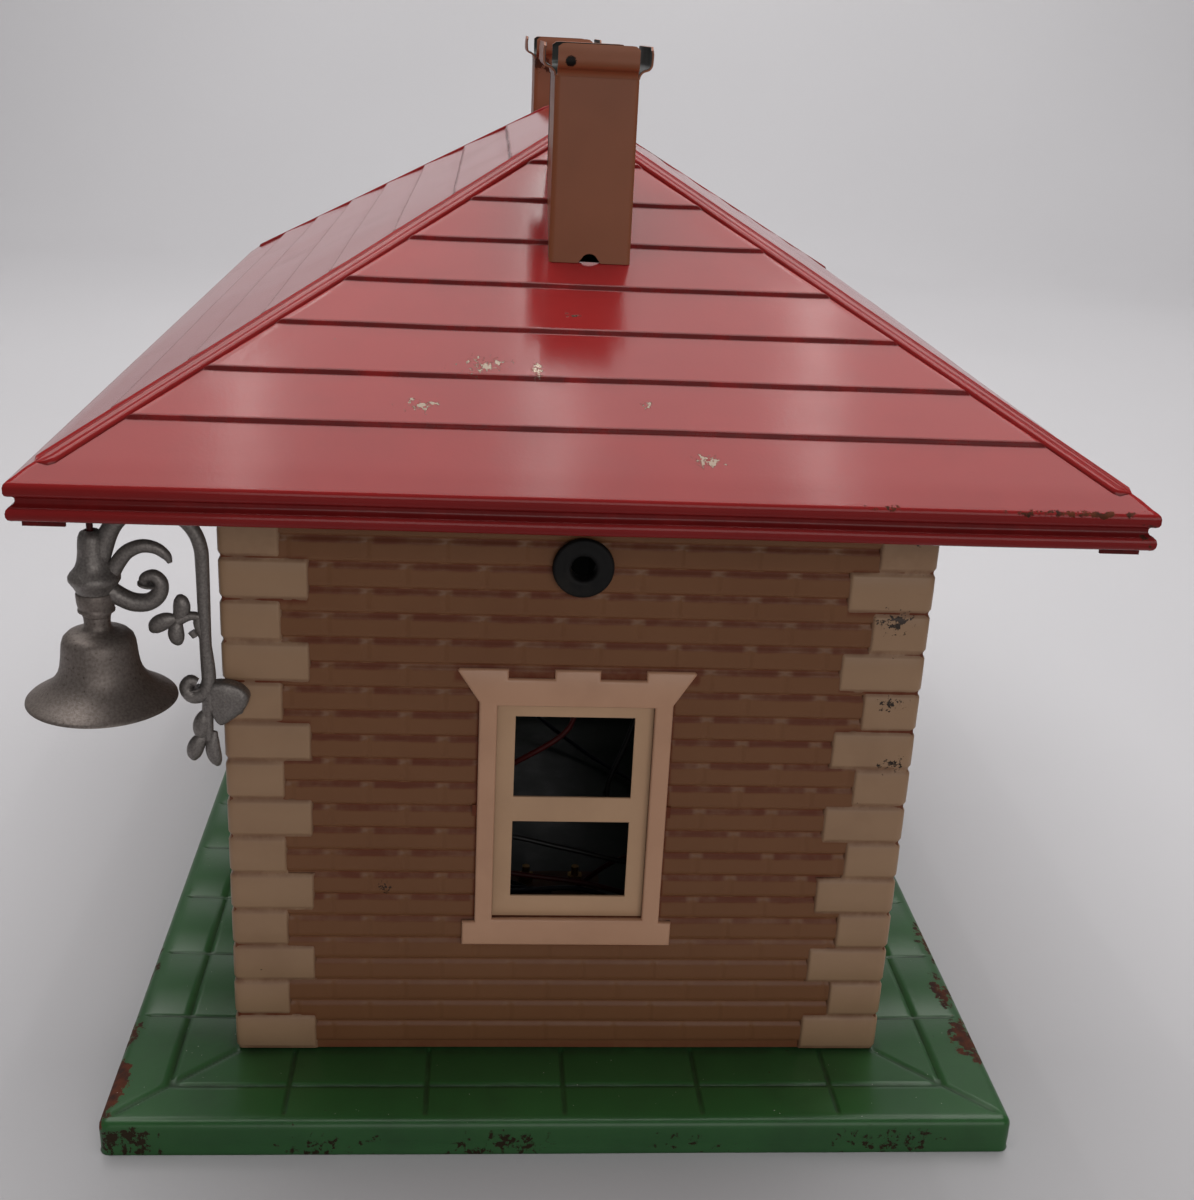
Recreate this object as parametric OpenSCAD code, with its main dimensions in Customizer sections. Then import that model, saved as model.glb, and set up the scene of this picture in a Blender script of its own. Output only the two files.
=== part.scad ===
// Toy railway station: pressed sheet walls on a base tray, lift-off hip roof with
// two chimneys, hinged double doors and two bell lamps on scrolled corner brackets.
// X runs along the ridge, -Y is the track side, Z is up. The base stands on Z = 0.
// All sizes are in millimetres.

/* [Base] */
// Length of the base tray
base_l = 340; // [310:1:400]
// Width of the base tray
base_w = 236; // [224:1:280]
// Height of the base tray
base_h = 10; // [8:0.5:13]
// Radius of the tray's top edge
base_r = 2.5; // [1.5:0.1:3.5]

/* [Building] */
// Length of the building over the corner strips
house_l = 280; // [260:1:300]
// Width of the building over the corner strips
house_w = 176; // [165:1:190]
// Thickness of the wall sheet
sheet = 0.8; // [0.6:0.1:1]
// Height of one corner block
block_h = 10.83; // [10.5:0.01:11.2]
// Width of a long corner block
block_long = 20.8; // [18:0.1:23]
// Width of a short corner block
block_short = 14; // [11:0.1:16]

/* [Windows] */
// Width of a window casing
case_w = 49; // [46:0.5:54]
// Width of the opening inside a casing
sash_w = 39.8; // [36:0.2:42]
// Width of a pane opening
pane_w = 30.4; // [26:0.2:32]
// Distance of a side window from the middle of its wall
win_x = 84; // [75:1:92]

/* [Doors] */
// Width of the doorway
door_w = 44; // [38:1:50]
// Height of the doorway
door_h = 92; // [84:1:98]
// Radius of a hinge pin
pin_r = 0.9; // [0.7:0.05:1]
// Radial clearance between hinge pin and hinge roll
pin_gap = 0.06; // [0.03:0.01:0.1]

/* [Roof] */
// Length of the roof over its fascia
roof_l = 354; // [340:1:376]
// Width of the roof over its fascia
roof_w = 250; // [240:1:264]
// Height of the fascia's lower edge above the ground
eave_z = 170; // [168:0.5:174]
// Height of the fascia
fascia_h = 8.8; // [7:0.2:11]
// Rise of the slopes from fascia to ridge
roof_rise = 72; // [68:1:80]
// Length of the ridge
ridge_l = 112; // [100:1:120]
// Thickness of the roof sheet
roof_t = 0.8; // [0.6:0.1:1]
// Depth of one lap step
lap = 0.9; // [0.5:0.1:1.2]

/* [Chimneys] */
// Width of a chimney across the ridge
chim_w = 20; // [16:1:24]
// Length of a chimney along the ridge
chim_l = 34; // [28:1:38]
// Distance of a chimney's outer face from the middle of the roof
chim_x = 110; // [106:1:116]
// Height of the chimney tops above the ground
chim_top = 270; // [262:1:280]

/* [Lamps] */
// Distance of a lamp's axis from the building's side
lamp_out = 28.5; // [26:0.5:31]
// Radius of the bell shade's rim
bell_r = 18; // [15:0.5:20]
// Height of the bell shade's rim above the ground
bell_z = 114; // [108:1:118]
// Thickness of the bracket casting
cast_t = 3.2; // [2.6:0.1:4]

/* [Hidden] */
$fn = 48;
eps = 0.01;

// building faces: the corner strips lie on the wall sheets
wl = house_l / 2 - sheet;
ww = house_w / 2 - sheet;
block_n = 17;
win_sill = 43.7;
win_top = 123;
open_lo = 51.5;
open_hi = 113.3;
grommet_z = 150.5;
grommet_r = 7.6;
hole_r = 5.2;
case_t = 1.4;

// doors
door_z0 = base_h + 2;
hinge_r = pin_r + pin_gap + 0.55;
hinge_x = door_w / 2 - hinge_r - 0.4;
hinge_y = ww + 1.1;
leaf_in = hinge_y - hinge_r;

// roof profile numbers: run is the plan distance from fascia to ridge
rl = roof_l / 2;
rw = roof_w / 2;
fz = eave_z + fascia_h;
ridge_z = fz + roof_rise;
run_l = rl - ridge_l / 2;
drop = roof_t * 1.165;
wall_share = min((rw - house_w / 2) / rw, (rl - house_l / 2) / run_l);
wall_top = fz + roof_rise * wall_share - drop - 1.18;
rib_w = 6.4;
laps = [0.142, 0.258, 0.375, 0.491, 0.608, 0.726, 0.843];

// lamps: the axis stands in the plane of the bracket; its screw comes from inside
screw_r = 1.1;
screw_y = house_w / 2 - 4.4;
screw_z = 111.6;
wire_r = 0.8;
wire_hole = 1.4;
wire_x = house_l / 2 - 7;
wire_z = 163;
lamp_x = house_l / 2 + cast_t / 2;
lamp_y = -house_w / 2 - lamp_out;

// ---------- small shapes ----------
module box(x0, x1, y0, y1, z0, z1) {
  translate([x0, y0, z0]) cube([x1 - x0, y1 - y0, z1 - z0]);
}

// lays a drawing of (across, up) on the end wall at x, building towards +X
module on_end(x, t) {
  translate([x, 0, 0]) rotate([90, 0, 90]) linear_extrude(t) children();
}

// lays a drawing of (across, up) on the front wall at -y, building towards -Y
module on_front(y, t) {
  translate([0, -y, 0]) rotate([90, 0, 0]) linear_extrude(t) children();
}

module rect(x0, x1, y0, y1) {
  translate([x0, y0]) square([x1 - x0, y1 - y0]);
}

// part of a flat ring, between two angles less than 180 apart
module arc(r, w, a0, a1) {
  k = r * 3;
  m = (a0 + a1) / 2;
  intersection() {
    difference() {
      circle(r + w / 2);
      circle(r - w / 2);
    }
    polygon([
      [0, 0], [k * cos(a0), k * sin(a0)],
      [k * cos(m), k * sin(m)], [k * cos(a1), k * sin(a1)]
    ]);
  }
}

// ---------- base ----------
module rounded_block(l, w, h, r) {
  intersection() {
    translate([-l / 2, 0, 0]) rotate([90, 0, 90]) linear_extrude(l) {
      rect(-w / 2, w / 2, 0, h - r);
      rect(-w / 2 + r, w / 2 - r, 0, h);
      translate([w / 2 - r, h - r]) circle(r);
      translate([r - w / 2, h - r]) circle(r);
    }
    translate([0, w / 2, 0]) rotate([90, 0, 0]) linear_extrude(w) {
      rect(-l / 2, l / 2, 0, h - r);
      rect(-l / 2 + r, l / 2 - r, 0, h);
      translate([l / 2 - r, h - r]) circle(r);
      translate([r - l / 2, h - r]) circle(r);
    }
  }
}

module groove_x(x0, x1, y) {
  box(x0, x1, y - 0.6, y + 0.6, base_h - 0.35, base_h + 1);
}

module groove_y(y0, y1, x) {
  box(x - 0.6, x + 0.6, y0, y1, base_h - 0.35, base_h + 1);
}

module base_tray() {
  mx = (base_l / 2 + house_l / 2) / 2;
  my = (base_w / 2 + house_w / 2) / 2;
  bl = base_l / 2 - 3;
  bw = base_w / 2 - 3;
  color("green") difference() {
    rounded_block(base_l, base_w, base_h, base_r);
    translate([0, 0, -sheet])
      rounded_block(base_l - 2 * sheet, base_w - 2 * sheet, base_h, base_r - sheet);
    for (s = [-1, 1]) {
      groove_x(-mx, mx, s * my);
      groove_y(-my, my, s * mx);
      for (k = [-4:4]) {
        x = k * 31.2;
        groove_y(min(s * (house_w / 2 + 1), s * bw), max(s * (house_w / 2 + 1), s * bw), x);
      }
      for (k = [-2:2]) {
        y = k * 36;
        groove_x(min(s * (house_l / 2 + 1), s * bl), max(s * (house_l / 2 + 1), s * bl), y);
      }
    }
  }
}

// ---------- walls ----------
module window_hole(x) {
  rect(x - sash_w / 2, x + sash_w / 2, open_lo, open_hi);
}

// side is -1 where the lamp corner is on the drawing's left, +1 on its right
module wall_end(side, bushed) {
  on_end(wl - sheet, sheet) difference() {
    rect(-ww, ww, base_h, wall_top);
    window_hole(0);
    if (bushed) translate([0, grommet_z]) circle(hole_r);
    translate([side * screw_y, screw_z]) circle(screw_r);
  }
}

module wall_long(wired) {
  e = wl - sheet;
  on_front(ww - sheet, sheet) difference() {
    rect(-e, e, base_h, wall_top);
    window_hole(-win_x);
    window_hole(win_x);
    rect(-door_w / 2, door_w / 2, door_z0, door_z0 + door_h);
    if (wired) for (s = [-1, 1]) translate([s * wire_x, wire_z]) circle(wire_hole);
  }
}

// corner strip over the +X -Y corner: long blocks on one face are short on the other
module quoin(lamp_side) {
  hx = house_l / 2;
  hy = house_w / 2;
  thin = sheet * 0.55;
  top = base_h + block_n * block_h;
  color("wheat") difference() {
    union() {
      box(wl, wl + thin, -ww - thin, -hy + block_short - 0.5, base_h, top);
      box(hx - block_short + 0.5, wl + thin, -ww - thin, -ww, base_h, top);
      for (k = [0:block_n - 1]) {
        z0 = base_h + k * block_h + 0.35;
        z1 = base_h + (k + 1) * block_h - 0.35;
        we = k % 2 == 0 ? block_long : block_short;
        ws = k % 2 == 0 ? block_short : block_long;
        box(wl, hx, -hy, -hy + we, z0, z1);
        box(hx - ws, wl + eps, -hy, -ww, z0, z1);
      }
    }
    if (lamp_side) {
      translate([wl - 1, -screw_y, screw_z]) rotate([0, 90, 0]) cylinder(r = screw_r, h = 4);
      translate([wire_x, -ww + 1, wire_z]) rotate([90, 0, 0]) cylinder(r = wire_hole, h = 4);
    }
  }
}

// ---------- windows ----------
module casing_shape() {
  cw = case_w / 2;
  difference() {
    union() {
      rect(-cw, cw, win_sill + 3, open_hi + 1);
      rect(-cw - 3.3, cw + 3.3, win_sill, win_sill + 7);
      polygon([
        [-cw, open_hi], [cw, open_hi], [cw + 5.6, win_top - 0.4],
        [cw + 5, win_top], [-cw - 5, win_top], [-cw - 5.6, win_top - 0.4]
      ]);
    }
    rect(-17.3, -5.8, win_top - 2.4, win_top + 1);
    rect(5.8, 17.3, win_top - 2.4, win_top + 1);
    rect(-sash_w / 2, sash_w / 2, open_lo, open_hi);
  }
}

module sash_shape() {
  difference() {
    rect(-sash_w / 2 - 2, sash_w / 2 + 2, open_lo - 2, open_hi + 2);
    rect(-pane_w / 2, pane_w / 2, 86.7, 109.5);
    rect(-pane_w / 2, pane_w / 2, 57.4, 79.6);
  }
}

module casing_end() {
  color("wheat") on_end(wl, case_t) casing_shape();
}

module sash_end() {
  color("wheat") on_end(wl - 2 * sheet, sheet) sash_shape();
}

module casing_side(x) {
  color("wheat") on_front(ww, case_t) translate([x, 0]) casing_shape();
}

module sash_side(x) {
  color("wheat") on_front(ww - 2 * sheet, sheet) translate([x, 0]) sash_shape();
}

module clip_pair(x) {
  for (s = [-1, 1])
    translate([x + s * (case_w / 2 + 0.6), 83.5]) rect(-0.6, 0.6, -1.6, 1.6);
}

module casing_clips() {
  color("tan") {
    on_end(wl, 0.8) clip_pair(0);
    rotate([0, 0, 180]) on_end(wl, 0.8) clip_pair(0);
    for (x = [-win_x, win_x]) {
      on_front(ww, 0.8) clip_pair(x);
      rotate([0, 0, 180]) on_front(ww, 0.8) clip_pair(x);
    }
  }
}

// ---------- doors ----------
module door_frame() {
  dw = door_w / 2;
  z1 = door_z0 + door_h;
  color("wheat") union() {
    on_front(ww, case_t) difference() {
      union() {
        rect(-dw - 6, dw + 6, base_h, win_top - 6);
        polygon([
          [-dw - 6, win_top - 9], [dw + 6, win_top - 9], [dw + 11.6, win_top - 0.4],
          [dw + 11, win_top], [-dw - 11, win_top], [-dw - 11.6, win_top - 0.4]
        ]);
      }
      rect(-dw, dw, door_z0, z1);
      rect(-17.3, -5.8, win_top - 2.4, win_top + 1);
      rect(5.8, 17.3, win_top - 2.4, win_top + 1);
    }
    for (s = [-1, 1]) {
      door_lug(s, z1 - 1.2, 1.2);
      door_lug(s, door_z0, 1.2);
    }
  }
}

// ear of the frame that holds one end of a hinge pin
module door_lug(s, z, t) {
  dw = door_w / 2;
  difference() {
    union() {
      translate([s * hinge_x, -hinge_y, z]) cylinder(r = hinge_r, h = t);
      box(min(s * hinge_x, s * (dw + 1)), max(s * hinge_x, s * (dw + 1)),
          -hinge_y - hinge_r, -ww - 0.05, z, z + t);
    }
    translate([s * hinge_x, -hinge_y, z - 1]) cylinder(r = pin_r, h = t + 2);
  }
}

module door_pin_pair() {
  for (s = [-1, 1])
    translate([s * hinge_x, -hinge_y, door_z0]) cylinder(r = pin_r, h = door_h);
}

module door_pins() {
  color("silver") {
    door_pin_pair();
    rotate([0, 0, 180]) door_pin_pair();
  }
}

// left leaf of the front doorway, hinged at its -X edge
module door_leaf() {
  z0 = door_z0 + 1.6;
  z1 = door_z0 + door_h - 1.6;
  yb = -hinge_y + hinge_r;
  color("saddlebrown") difference() {
    union() {
      translate([-hinge_x, -hinge_y, z0]) cylinder(r = hinge_r, h = z1 - z0);
      box(-hinge_x, -0.3, yb - sheet, yb, z0, z1);
    }
    translate([-hinge_x, -hinge_y, z0 - 1]) cylinder(r = pin_r + pin_gap, h = door_h + 2);
    box(-hinge_x + 4.5, -4, yb - 3, yb + 1, door_z0 + 44, door_z0 + 82);
    box(-hinge_x + 4.5, -4, yb - 3, yb - sheet + 0.3, door_z0 + 8, door_z0 + 36);
  }
}

module door_knob() {
  yb = -hinge_y + hinge_r - sheet;
  color("gold") translate([-2.4, yb, door_z0 + 40]) rotate([90, 0, 0]) {
    cylinder(r = 0.5, h = 1.2);
    translate([0, 0, 1.2]) cylinder(r = 1.2, h = 1);
  }
}

// ---------- grommet ----------
module grommet() {
  color("black") translate([wl, 0, grommet_z]) rotate([0, 90, 0]) difference() {
    union() {
      cylinder(r = grommet_r, h = 2.6);
      translate([0, 0, -sheet]) cylinder(r = hole_r, h = sheet + 1);
      translate([0, 0, -sheet - 1.6]) cylinder(r = grommet_r - 0.8, h = 1.6);
    }
    translate([0, 0, -5]) cylinder(r = 3, h = 12);
  }
}

// ---------- roof ----------
// outline of half the roof seen along one axis: e is the half width at the fascia,
// r the half length of the ridge; the stepped laps go from eave to ridge
function slope_pts(e, r, s) = [
  for (i = [0:6])
    each [
      [s * (e - laps[i] * (e - r)), fz + laps[i] * roof_rise],
      [s * (e - laps[i] * (e - r)), fz + laps[i] * roof_rise + lap]
    ]
];

function fascia_pts(e, s) = [
  [s * (e - 1.9), eave_z], [s * (e - 0.9), eave_z], [s * (e - 0.3), eave_z + 0.7],
  [s * (e - 0.3), eave_z + 2.7], [s * (e - 0.9), eave_z + 3.4], [s * (e - 1.7), eave_z + 3.7],
  [s * (e - 1.7), eave_z + 5.3], [s * (e - 0.6), eave_z + 5.7], [s * e, eave_z + 6.4],
  [s * e, fz - 0.8], [s * (e - 0.6), fz - 0.2], [s * (e - 2), fz + 0.4]
];

function back(v) = [for (i = [len(v) - 1:-1:0]) v[i]];

module outer_profile(e, r) {
  top = fz + roof_rise;
  polygon(concat(
    fascia_pts(e, 1), slope_pts(e, r, 1), [[r, top], [-r, top]],
    back(slope_pts(e, r, -1)), back(fascia_pts(e, -1))
  ));
}

module inner_profile(e, r) {
  i = e - 2.7;
  z = fz - drop;
  k = roof_rise / (e - r);
  rr = max(r, 0.01);
  polygon([
    [i, eave_z - 1], [i, z + k * 2.7], [rr, z + roof_rise],
    [-rr, z + roof_rise], [-i, z + k * 2.7], [-i, eave_z - 1]
  ]);
}

module roof_solid() {
  intersection() {
    translate([-rl - 5, 0, 0]) rotate([90, 0, 90]) linear_extrude(roof_l + 10)
      outer_profile(rw, 0.01);
    translate([0, rw + 5, 0]) rotate([90, 0, 0]) linear_extrude(roof_w + 10)
      outer_profile(rl, ridge_l / 2);
  }
}

module roof_void() {
  intersection() {
    translate([-rl - 5, 0, 0]) rotate([90, 0, 90]) linear_extrude(roof_l + 10)
      inner_profile(rw, 0);
    translate([0, rw + 5, 0]) rotate([90, 0, 0]) linear_extrude(roof_w + 10)
      inner_profile(rl, ridge_l / 2);
  }
}

module roof_shell() {
  color("firebrick") difference() {
    roof_solid();
    roof_void();
    for (s = [-1, 1]) translate([s * (chim_x - chim_l / 2), 0, 200])
      translate([-chim_l / 2 + 3, -chim_w / 2 + 3, 0]) cube([chim_l - 6, chim_w - 6, 80]);
  }
}

// raised strip along one hip, lifted off the stepped surface and following its kinks
module rib_bar() {
  az = atan2(rw, -run_l);
  n = norm([run_l, rw]);
  color("firebrick") difference() {
    intersection() {
      translate([0, 0, lap + 0.5]) roof_solid();
      translate([rl, -rw, 0]) rotate([0, 0, az])
        translate([n * 0.05, -rib_w / 2, fz]) cube([n * 0.915, rib_w, roof_rise + 20]);
    }
    roof_solid();
  }
}

// ---------- chimneys ----------
// section of the flared lip: out from the tube's face, down from the chimney's top
module lip_shape() {
  polygon([
    [-0.8, -7.4], [0, -7.4], [0.5, -6.3], [1.9, -5.5], [2.8, -4.7], [2.8, 0],
    [2.1, 0], [2.1, -4.3], [1.5, -4.9], [0.2, -5.6], [-0.8, -6.7]
  ]);
}

// one lip of the given width, leaning out along +X from x = d
module lip(d, w) {
  translate([d, w / 2, chim_top]) rotate([90, 0, 0]) linear_extrude(w) lip_shape();
}

// folded tube with one lip on each face; the lips stay apart at the corners
module chimney() {
  a = chim_l / 2;
  b = chim_w / 2;
  t = 0.8;
  z0 = ridge_z - 40;
  z1 = chim_top - 7.2;
  color("burlywood") translate([chim_x - a, 0, 0]) difference() {
    union() {
      difference() {
        box(-a, a, -b, b, z0, z1);
        box(-a + t, a - t, -b + t, b - t, z0 - 1, z1 + 1);
      }
      lip(a, chim_w - 0.4);
      rotate([0, 0, 180]) lip(a, chim_w - 0.4);
      rotate([0, 0, 90]) lip(b, chim_l - 2);
      rotate([0, 0, -90]) lip(b, chim_l - 2);
    }
    translate([a - 5, 0, chim_foot()]) rotate([0, 90, 0]) cylinder(r = 2.3, h = 10);
    translate([a - 4, 3.4 - b, chim_top - 4]) rotate([0, 90, 0]) cylinder(r = 0.7, h = 10);
    translate([a - chim_x, 0, 0]) roof_under();
  }
}

// height of the roof surface at the chimney's outer face
function chim_foot() = fz + (rl - chim_x) / run_l * roof_rise + lap;

// everything below the outside of the roof, used to trim what stands on it
module roof_under() {
  roof_solid();
  box(-rl - 9, rl + 9, -rw - 9, rw + 9, 0, fz + 1);
}

module eave_tabs() {
  color("maroon") for (sx = [-1, 1], sy = [-1, 1]) {
    x = sx * (rl - 2.7);
    y = sy * (rw - 2.7);
    box(min(x, x - sx * 0.8), max(x, x - sx * 0.8), min(y, y - sy * 9), max(y, y - sy * 9),
        eave_z - 1.4, eave_z + 4);
  }
}

// ---------- lamps ----------
// pointed leaf along +X from the origin, made of two arcs
module leaf(len, wid) {
  r = (len * len / 4 + wid * wid / 4) / wid;
  intersection() {
    translate([len / 2, r - wid / 2]) circle(r);
    translate([len / 2, wid / 2 - r]) circle(r);
  }
}

// drawing of the bracket in (out from the corner, up); the corner's side is at 0
module bracket_shape() {
  // leg up the corner and the arch over to the lamp
  rect(1.6, 5, 30, 66);
  translate([14.4, 66]) arc(11.2, 3.8, 0, 95);
  translate([14.4, 66]) arc(11.2, 3.8, 85, 180);
  polygon([[23.6, 66.5], [27.6, 66.5], [31.4, 60], [24, 58]]);
  // large scroll against the arch, its curl and its tip
  translate([16.3, 61]) arc(6.2, 3.4, -92, 0);
  translate([16.3, 61]) arc(6.2, 3.4, -2, 92);
  translate([15, 61.6]) arc(5.7, 2.4, 88, 158);
  translate([9.7, 63.6]) circle(1.2);
  translate([15.2, 57.2]) arc(2.5, 2.2, 160, 292);
  translate([15.2, 57.2]) arc(2.5, 2.2, 40, 165);
  translate([15.6, 56.8]) circle(1.7);
  // three leaves on a short stem
  polygon([[4.4, 50.6], [10, 49.4], [10, 47.6], [4.4, 46.4]]);
  translate([9.6, 47.4]) rotate(88) leaf(9, 4);
  translate([9, 49.4]) rotate(-62) leaf(9.6, 3.8);
  translate([9.2, 49]) rotate(-104) leaf(7, 3.4);
  // lower scroll
  polygon([[1.6, 35], [5, 37], [8.8, 29.8], [7.6, 27.6], [2, 28]]);
  translate([7.9, 31.2]) circle(3);
  // heart that takes the screw, then the leaves below it
  polygon([
    [4.6, 33], [-1, 33.4], [-5, 32.2], [-7.6, 29.4], [-6.4, 25.4],
    [-3.4, 22.2], [0.6, 20.8], [4, 22]
  ]);
  translate([2.2, 24]) rotate(-88) leaf(13.6, 4.4);
  translate([3, 20.4]) rotate(-52) leaf(6.4, 3.2);
  translate([3.4, 19.6]) rotate(70) leaf(8, 3.6);
  polygon([[0.4, 24], [4.4, 24], [4, 17], [1, 17]]);
}

// lamp A stands at the +X end; lamp B is its mirror image
module lamp_bracket() {
  color("gray") difference() {
    union() {
      translate([house_l / 2, -house_w / 2, 86]) rotate([90, 0, 90])
        mirror([1, 0]) linear_extrude(cast_t) bracket_shape();
      translate([lamp_x, lamp_y, bell_z]) rotate_extrude() polygon([
        [0, 28], [4.3, 28], [5.2, 29.4], [5.7, 31.2], [5.2, 33], [4, 34.4], [0, 34.4]
      ]);
    }
    translate([house_l / 2 - 1, -screw_y, screw_z]) rotate([0, 90, 0])
      cylinder(r = screw_r, h = cast_t);
    translate([lamp_x, lamp_y, bell_z + 32]) cylinder(r = wire_r + 0.2, h = 6);
  }
}

module lamp_socket() {
  z = bell_z + 23;
  color("silver") translate([lamp_x, lamp_y, 0]) difference() {
    union() {
      translate([0, 0, z]) cylinder(r = 4.3, h = 5);
      translate([0, 0, z - 1.2]) cylinder(r = 3.7, h = 1.2);
    }
    translate([0, 0, z - 2]) cylinder(r = 2.4, h = 6);
  }
}

// the neck keeps its radius, as it has to pass the bulb; only the bell widens
bell_k = (bell_r - 3.4) / 14.6;
function bell_pts(o) = [
  [3.4 + o, 20.6], [3.4 + o, 19.4], [3.4 + 3.6 * bell_k + o, 18.2],
  [3.4 + 5.2 * bell_k + o, 16.4], [3.4 + 5.6 * bell_k + o, 14.5],
  [3.4 + 6.1 * bell_k + o, 9], [3.4 + 7.2 * bell_k + o, 6.5], [3.4 + 9.4 * bell_k + o, 4.2],
  [3.4 + 12.2 * bell_k + o, 2], [3.4 + 14.6 * bell_k + o * 0.5, 0.1 - o * 0.1]
];

module lamp_shade() {
  color("gray") translate([lamp_x, lamp_y, bell_z]) rotate_extrude($fn = 96)
    polygon(concat([[2.6, 21.8], [3.4, 21.8]], bell_pts(0), back(bell_pts(-0.8))));
}

module lamp_bulb() {
  color("white", 0.6) translate([lamp_x, lamp_y, bell_z]) {
    translate([0, 0, 15]) cylinder(r = 2.3, h = 11.9);
    translate([0, 0, 11]) sphere(r = 4.6);
  }
}

module bracket_screws() {
  color("silver") for (s = [0, 1]) mirror([s, 0, 0])
    translate([wl - sheet - 1.6, -screw_y, screw_z]) rotate([0, 90, 0]) {
      cylinder(r = screw_r, h = 1.6 + 2 * sheet + cast_t - 1);
      cylinder(r = 2.4, h = 1.55);
    }
}

// ---------- wiring ----------
function lerp(a, b, t) = a + (b - a) * t;

// point and heading along a run of rounded corners through hand-placed stations
function curve(p, i, t) =
  let (
    n = len(p),
    a = p[max(i - 1, 0)],
    b = p[i],
    c = p[min(i + 1, n - 1)],
    d = p[min(i + 2, n - 1)]
  )
  0.5 * ((2 * b) + (c - a) * t + (2 * a - 5 * b + 4 * c - d) * t * t
    + (3 * b - a - 3 * c + d) * t * t * t);

function path(p, k) = concat(
  [for (i = [0:len(p) - 2]) for (j = [0:k - 1]) curve(p, i, j / k)],
  [p[len(p) - 1]]
);

module tube(p, r, side) {
  m = 8;
  n = len(p);
  pts = [
    for (i = [0:n - 1])
      let (
        t = p[min(i + 1, n - 1)] - p[max(i - 1, 0)],
        u = t / norm(t),
        v0 = cross(u, side),
        v = v0 / norm(v0),
        w = cross(u, v)
      )
      for (j = [0:m - 1]) p[i] + r * (v * cos(j * 360 / m) + w * sin(j * 360 / m))
  ];
  polyhedron(
    points = pts,
    faces = concat(
      [for (j = [1:m - 2]) [0, j, j + 1]],
      [for (i = [0:n - 2]) for (j = [0:m - 1]) [i * m + j, (i + 1) * m + j, i * m + (j + 1) % m]],
      [for (i = [0:n - 2]) for (j = [0:m - 1])
        [(i + 1) * m + j, (i + 1) * m + (j + 1) % m, i * m + (j + 1) % m]],
      [for (j = [1:m - 2]) let (b = (n - 1) * m) [b, b + j + 1, b + j]]
    )
  );
}

// from the terminals past the end window and up to the room lamp
room_route = [
  [60, -8, 13], [64, -46, 30], [94, -48, 50], [100, -20, 54.5], [101, 2, 50.5],
  [101, 24, 46], [100, 42, 50], [97, 34, 62], [100, 13, 66], [100, 19, 90],
  [84, 26, 116], [40, 14, 142], [7, 2, 156.5]
];
// both lamp wires end alike: up the inside of the corner, out through the wall,
// over the side of the arch and down into the top of the lamp's cup
lamp_end = [
  [127, 15.2 - ww, 140], [wire_x, 7.2 - ww, 156], [wire_x, -ww, wire_z],
  [wire_x + 1, lamp_y + 16, 168], [wire_x + 4, lamp_y + 6, 168.4],
  [lamp_x, lamp_y + 0.3, 164], [lamp_x, lamp_y, bell_z + 35]
];
near_route = concat([
  [60, 8, 13], [70, 22, 30], [90, 42, 42], [101, 30, 35], [101, 6, 39.5],
  [101, -20, 43.5], [101, -42, 52], [101, -36, 68], [101, -14, 78], [101, 2, 92],
  [104, -12, 112], [118, -50, 126]
], lamp_end);
far_route = concat([
  [62, 0, 13], [70, -30, 20], [90, -34, 29], [93, -12, 31.5], [93, 6, 32.5],
  [92, 24, 27], [76, 54, 16], [20, 56, 13.5], [-50, 10, 13.5], [-108, -40, 40],
  [-124, -64, 110]
], [for (p = lamp_end) [-p[0], p[1], p[2]]]);

module room_wire() {
  color("black") tube(path(room_route, 2), wire_r, [0.3, 0.1, 1]);
}

module lamp_wire_a() {
  color("darkred") tube(path(near_route, 2), wire_r, [1, 0.2, 0.1]);
}

module lamp_wire_b() {
  color("midnightblue") tube(path(far_route, 2), wire_r, [0.2, 0.35, 1]);
}

module room_lamp_bracket() {
  color("silver") difference() {
    union() {
      box(-6, 6, ww - sheet - 1, ww - sheet, 150, 172);
      box(-6, 6, -6, ww - sheet, 160, 161);
    }
    translate([0, 0, 155]) cylinder(r = 4.4, h = 10);
  }
}

module room_lamp_socket() {
  color("goldenrod") difference() {
    union() {
      translate([0, 0, 146]) cylinder(r = 4.4, h = 20);
      translate([0, 0, 157.5]) cylinder(r = 5.6, h = 2.5);
    }
    translate([0, 0, 145]) cylinder(r = 3.6, h = 14);
  }
}

module room_lamp_bulb() {
  color("white", 0.6) {
    translate([0, 0, 142]) cylinder(r = 3.6, h = 16);
    translate([0, 0, 138]) sphere(r = 7);
  }
}

module terminal_strip() {
  color("saddlebrown") box(48, 72, -16, 16, base_h, base_h + 2);
}

module terminal_nuts() {
  color("gold") for (y = [-8, 8]) translate([54, y, base_h + 2]) {
    cylinder(r = 2.6, h = 2.4, $fn = 6);
    translate([0, 0, 2.4]) cylinder(r = 1.2, h = 3);
  }
}

// ---------- the row ----------
base_tray();
color("tan") wall_end(-1, true);  // wall_end_a
color("tan") rotate([0, 0, 180]) wall_end(1, false);  // wall_end_b
color("tan") wall_long(true);  // wall_front
color("tan") rotate([0, 0, 180]) wall_long(false);  // wall_back
quoin(true);  // quoin_a_front
mirror([0, 1, 0]) quoin(false);  // quoin_a_back
mirror([1, 0, 0]) quoin(true);  // quoin_b_front
mirror([1, 0, 0]) mirror([0, 1, 0]) quoin(false);  // quoin_b_back
casing_end();  // window_casing_end_a
rotate([0, 0, 180]) casing_end();  // window_casing_end_b
casing_side(-win_x);  // window_casing_front_1
casing_side(win_x);  // window_casing_front_2
rotate([0, 0, 180]) casing_side(-win_x);  // window_casing_back_1
rotate([0, 0, 180]) casing_side(win_x);  // window_casing_back_2
sash_end();  // window_sash_end_a
rotate([0, 0, 180]) sash_end();  // window_sash_end_b
sash_side(-win_x);  // window_sash_front_1
sash_side(win_x);  // window_sash_front_2
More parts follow.
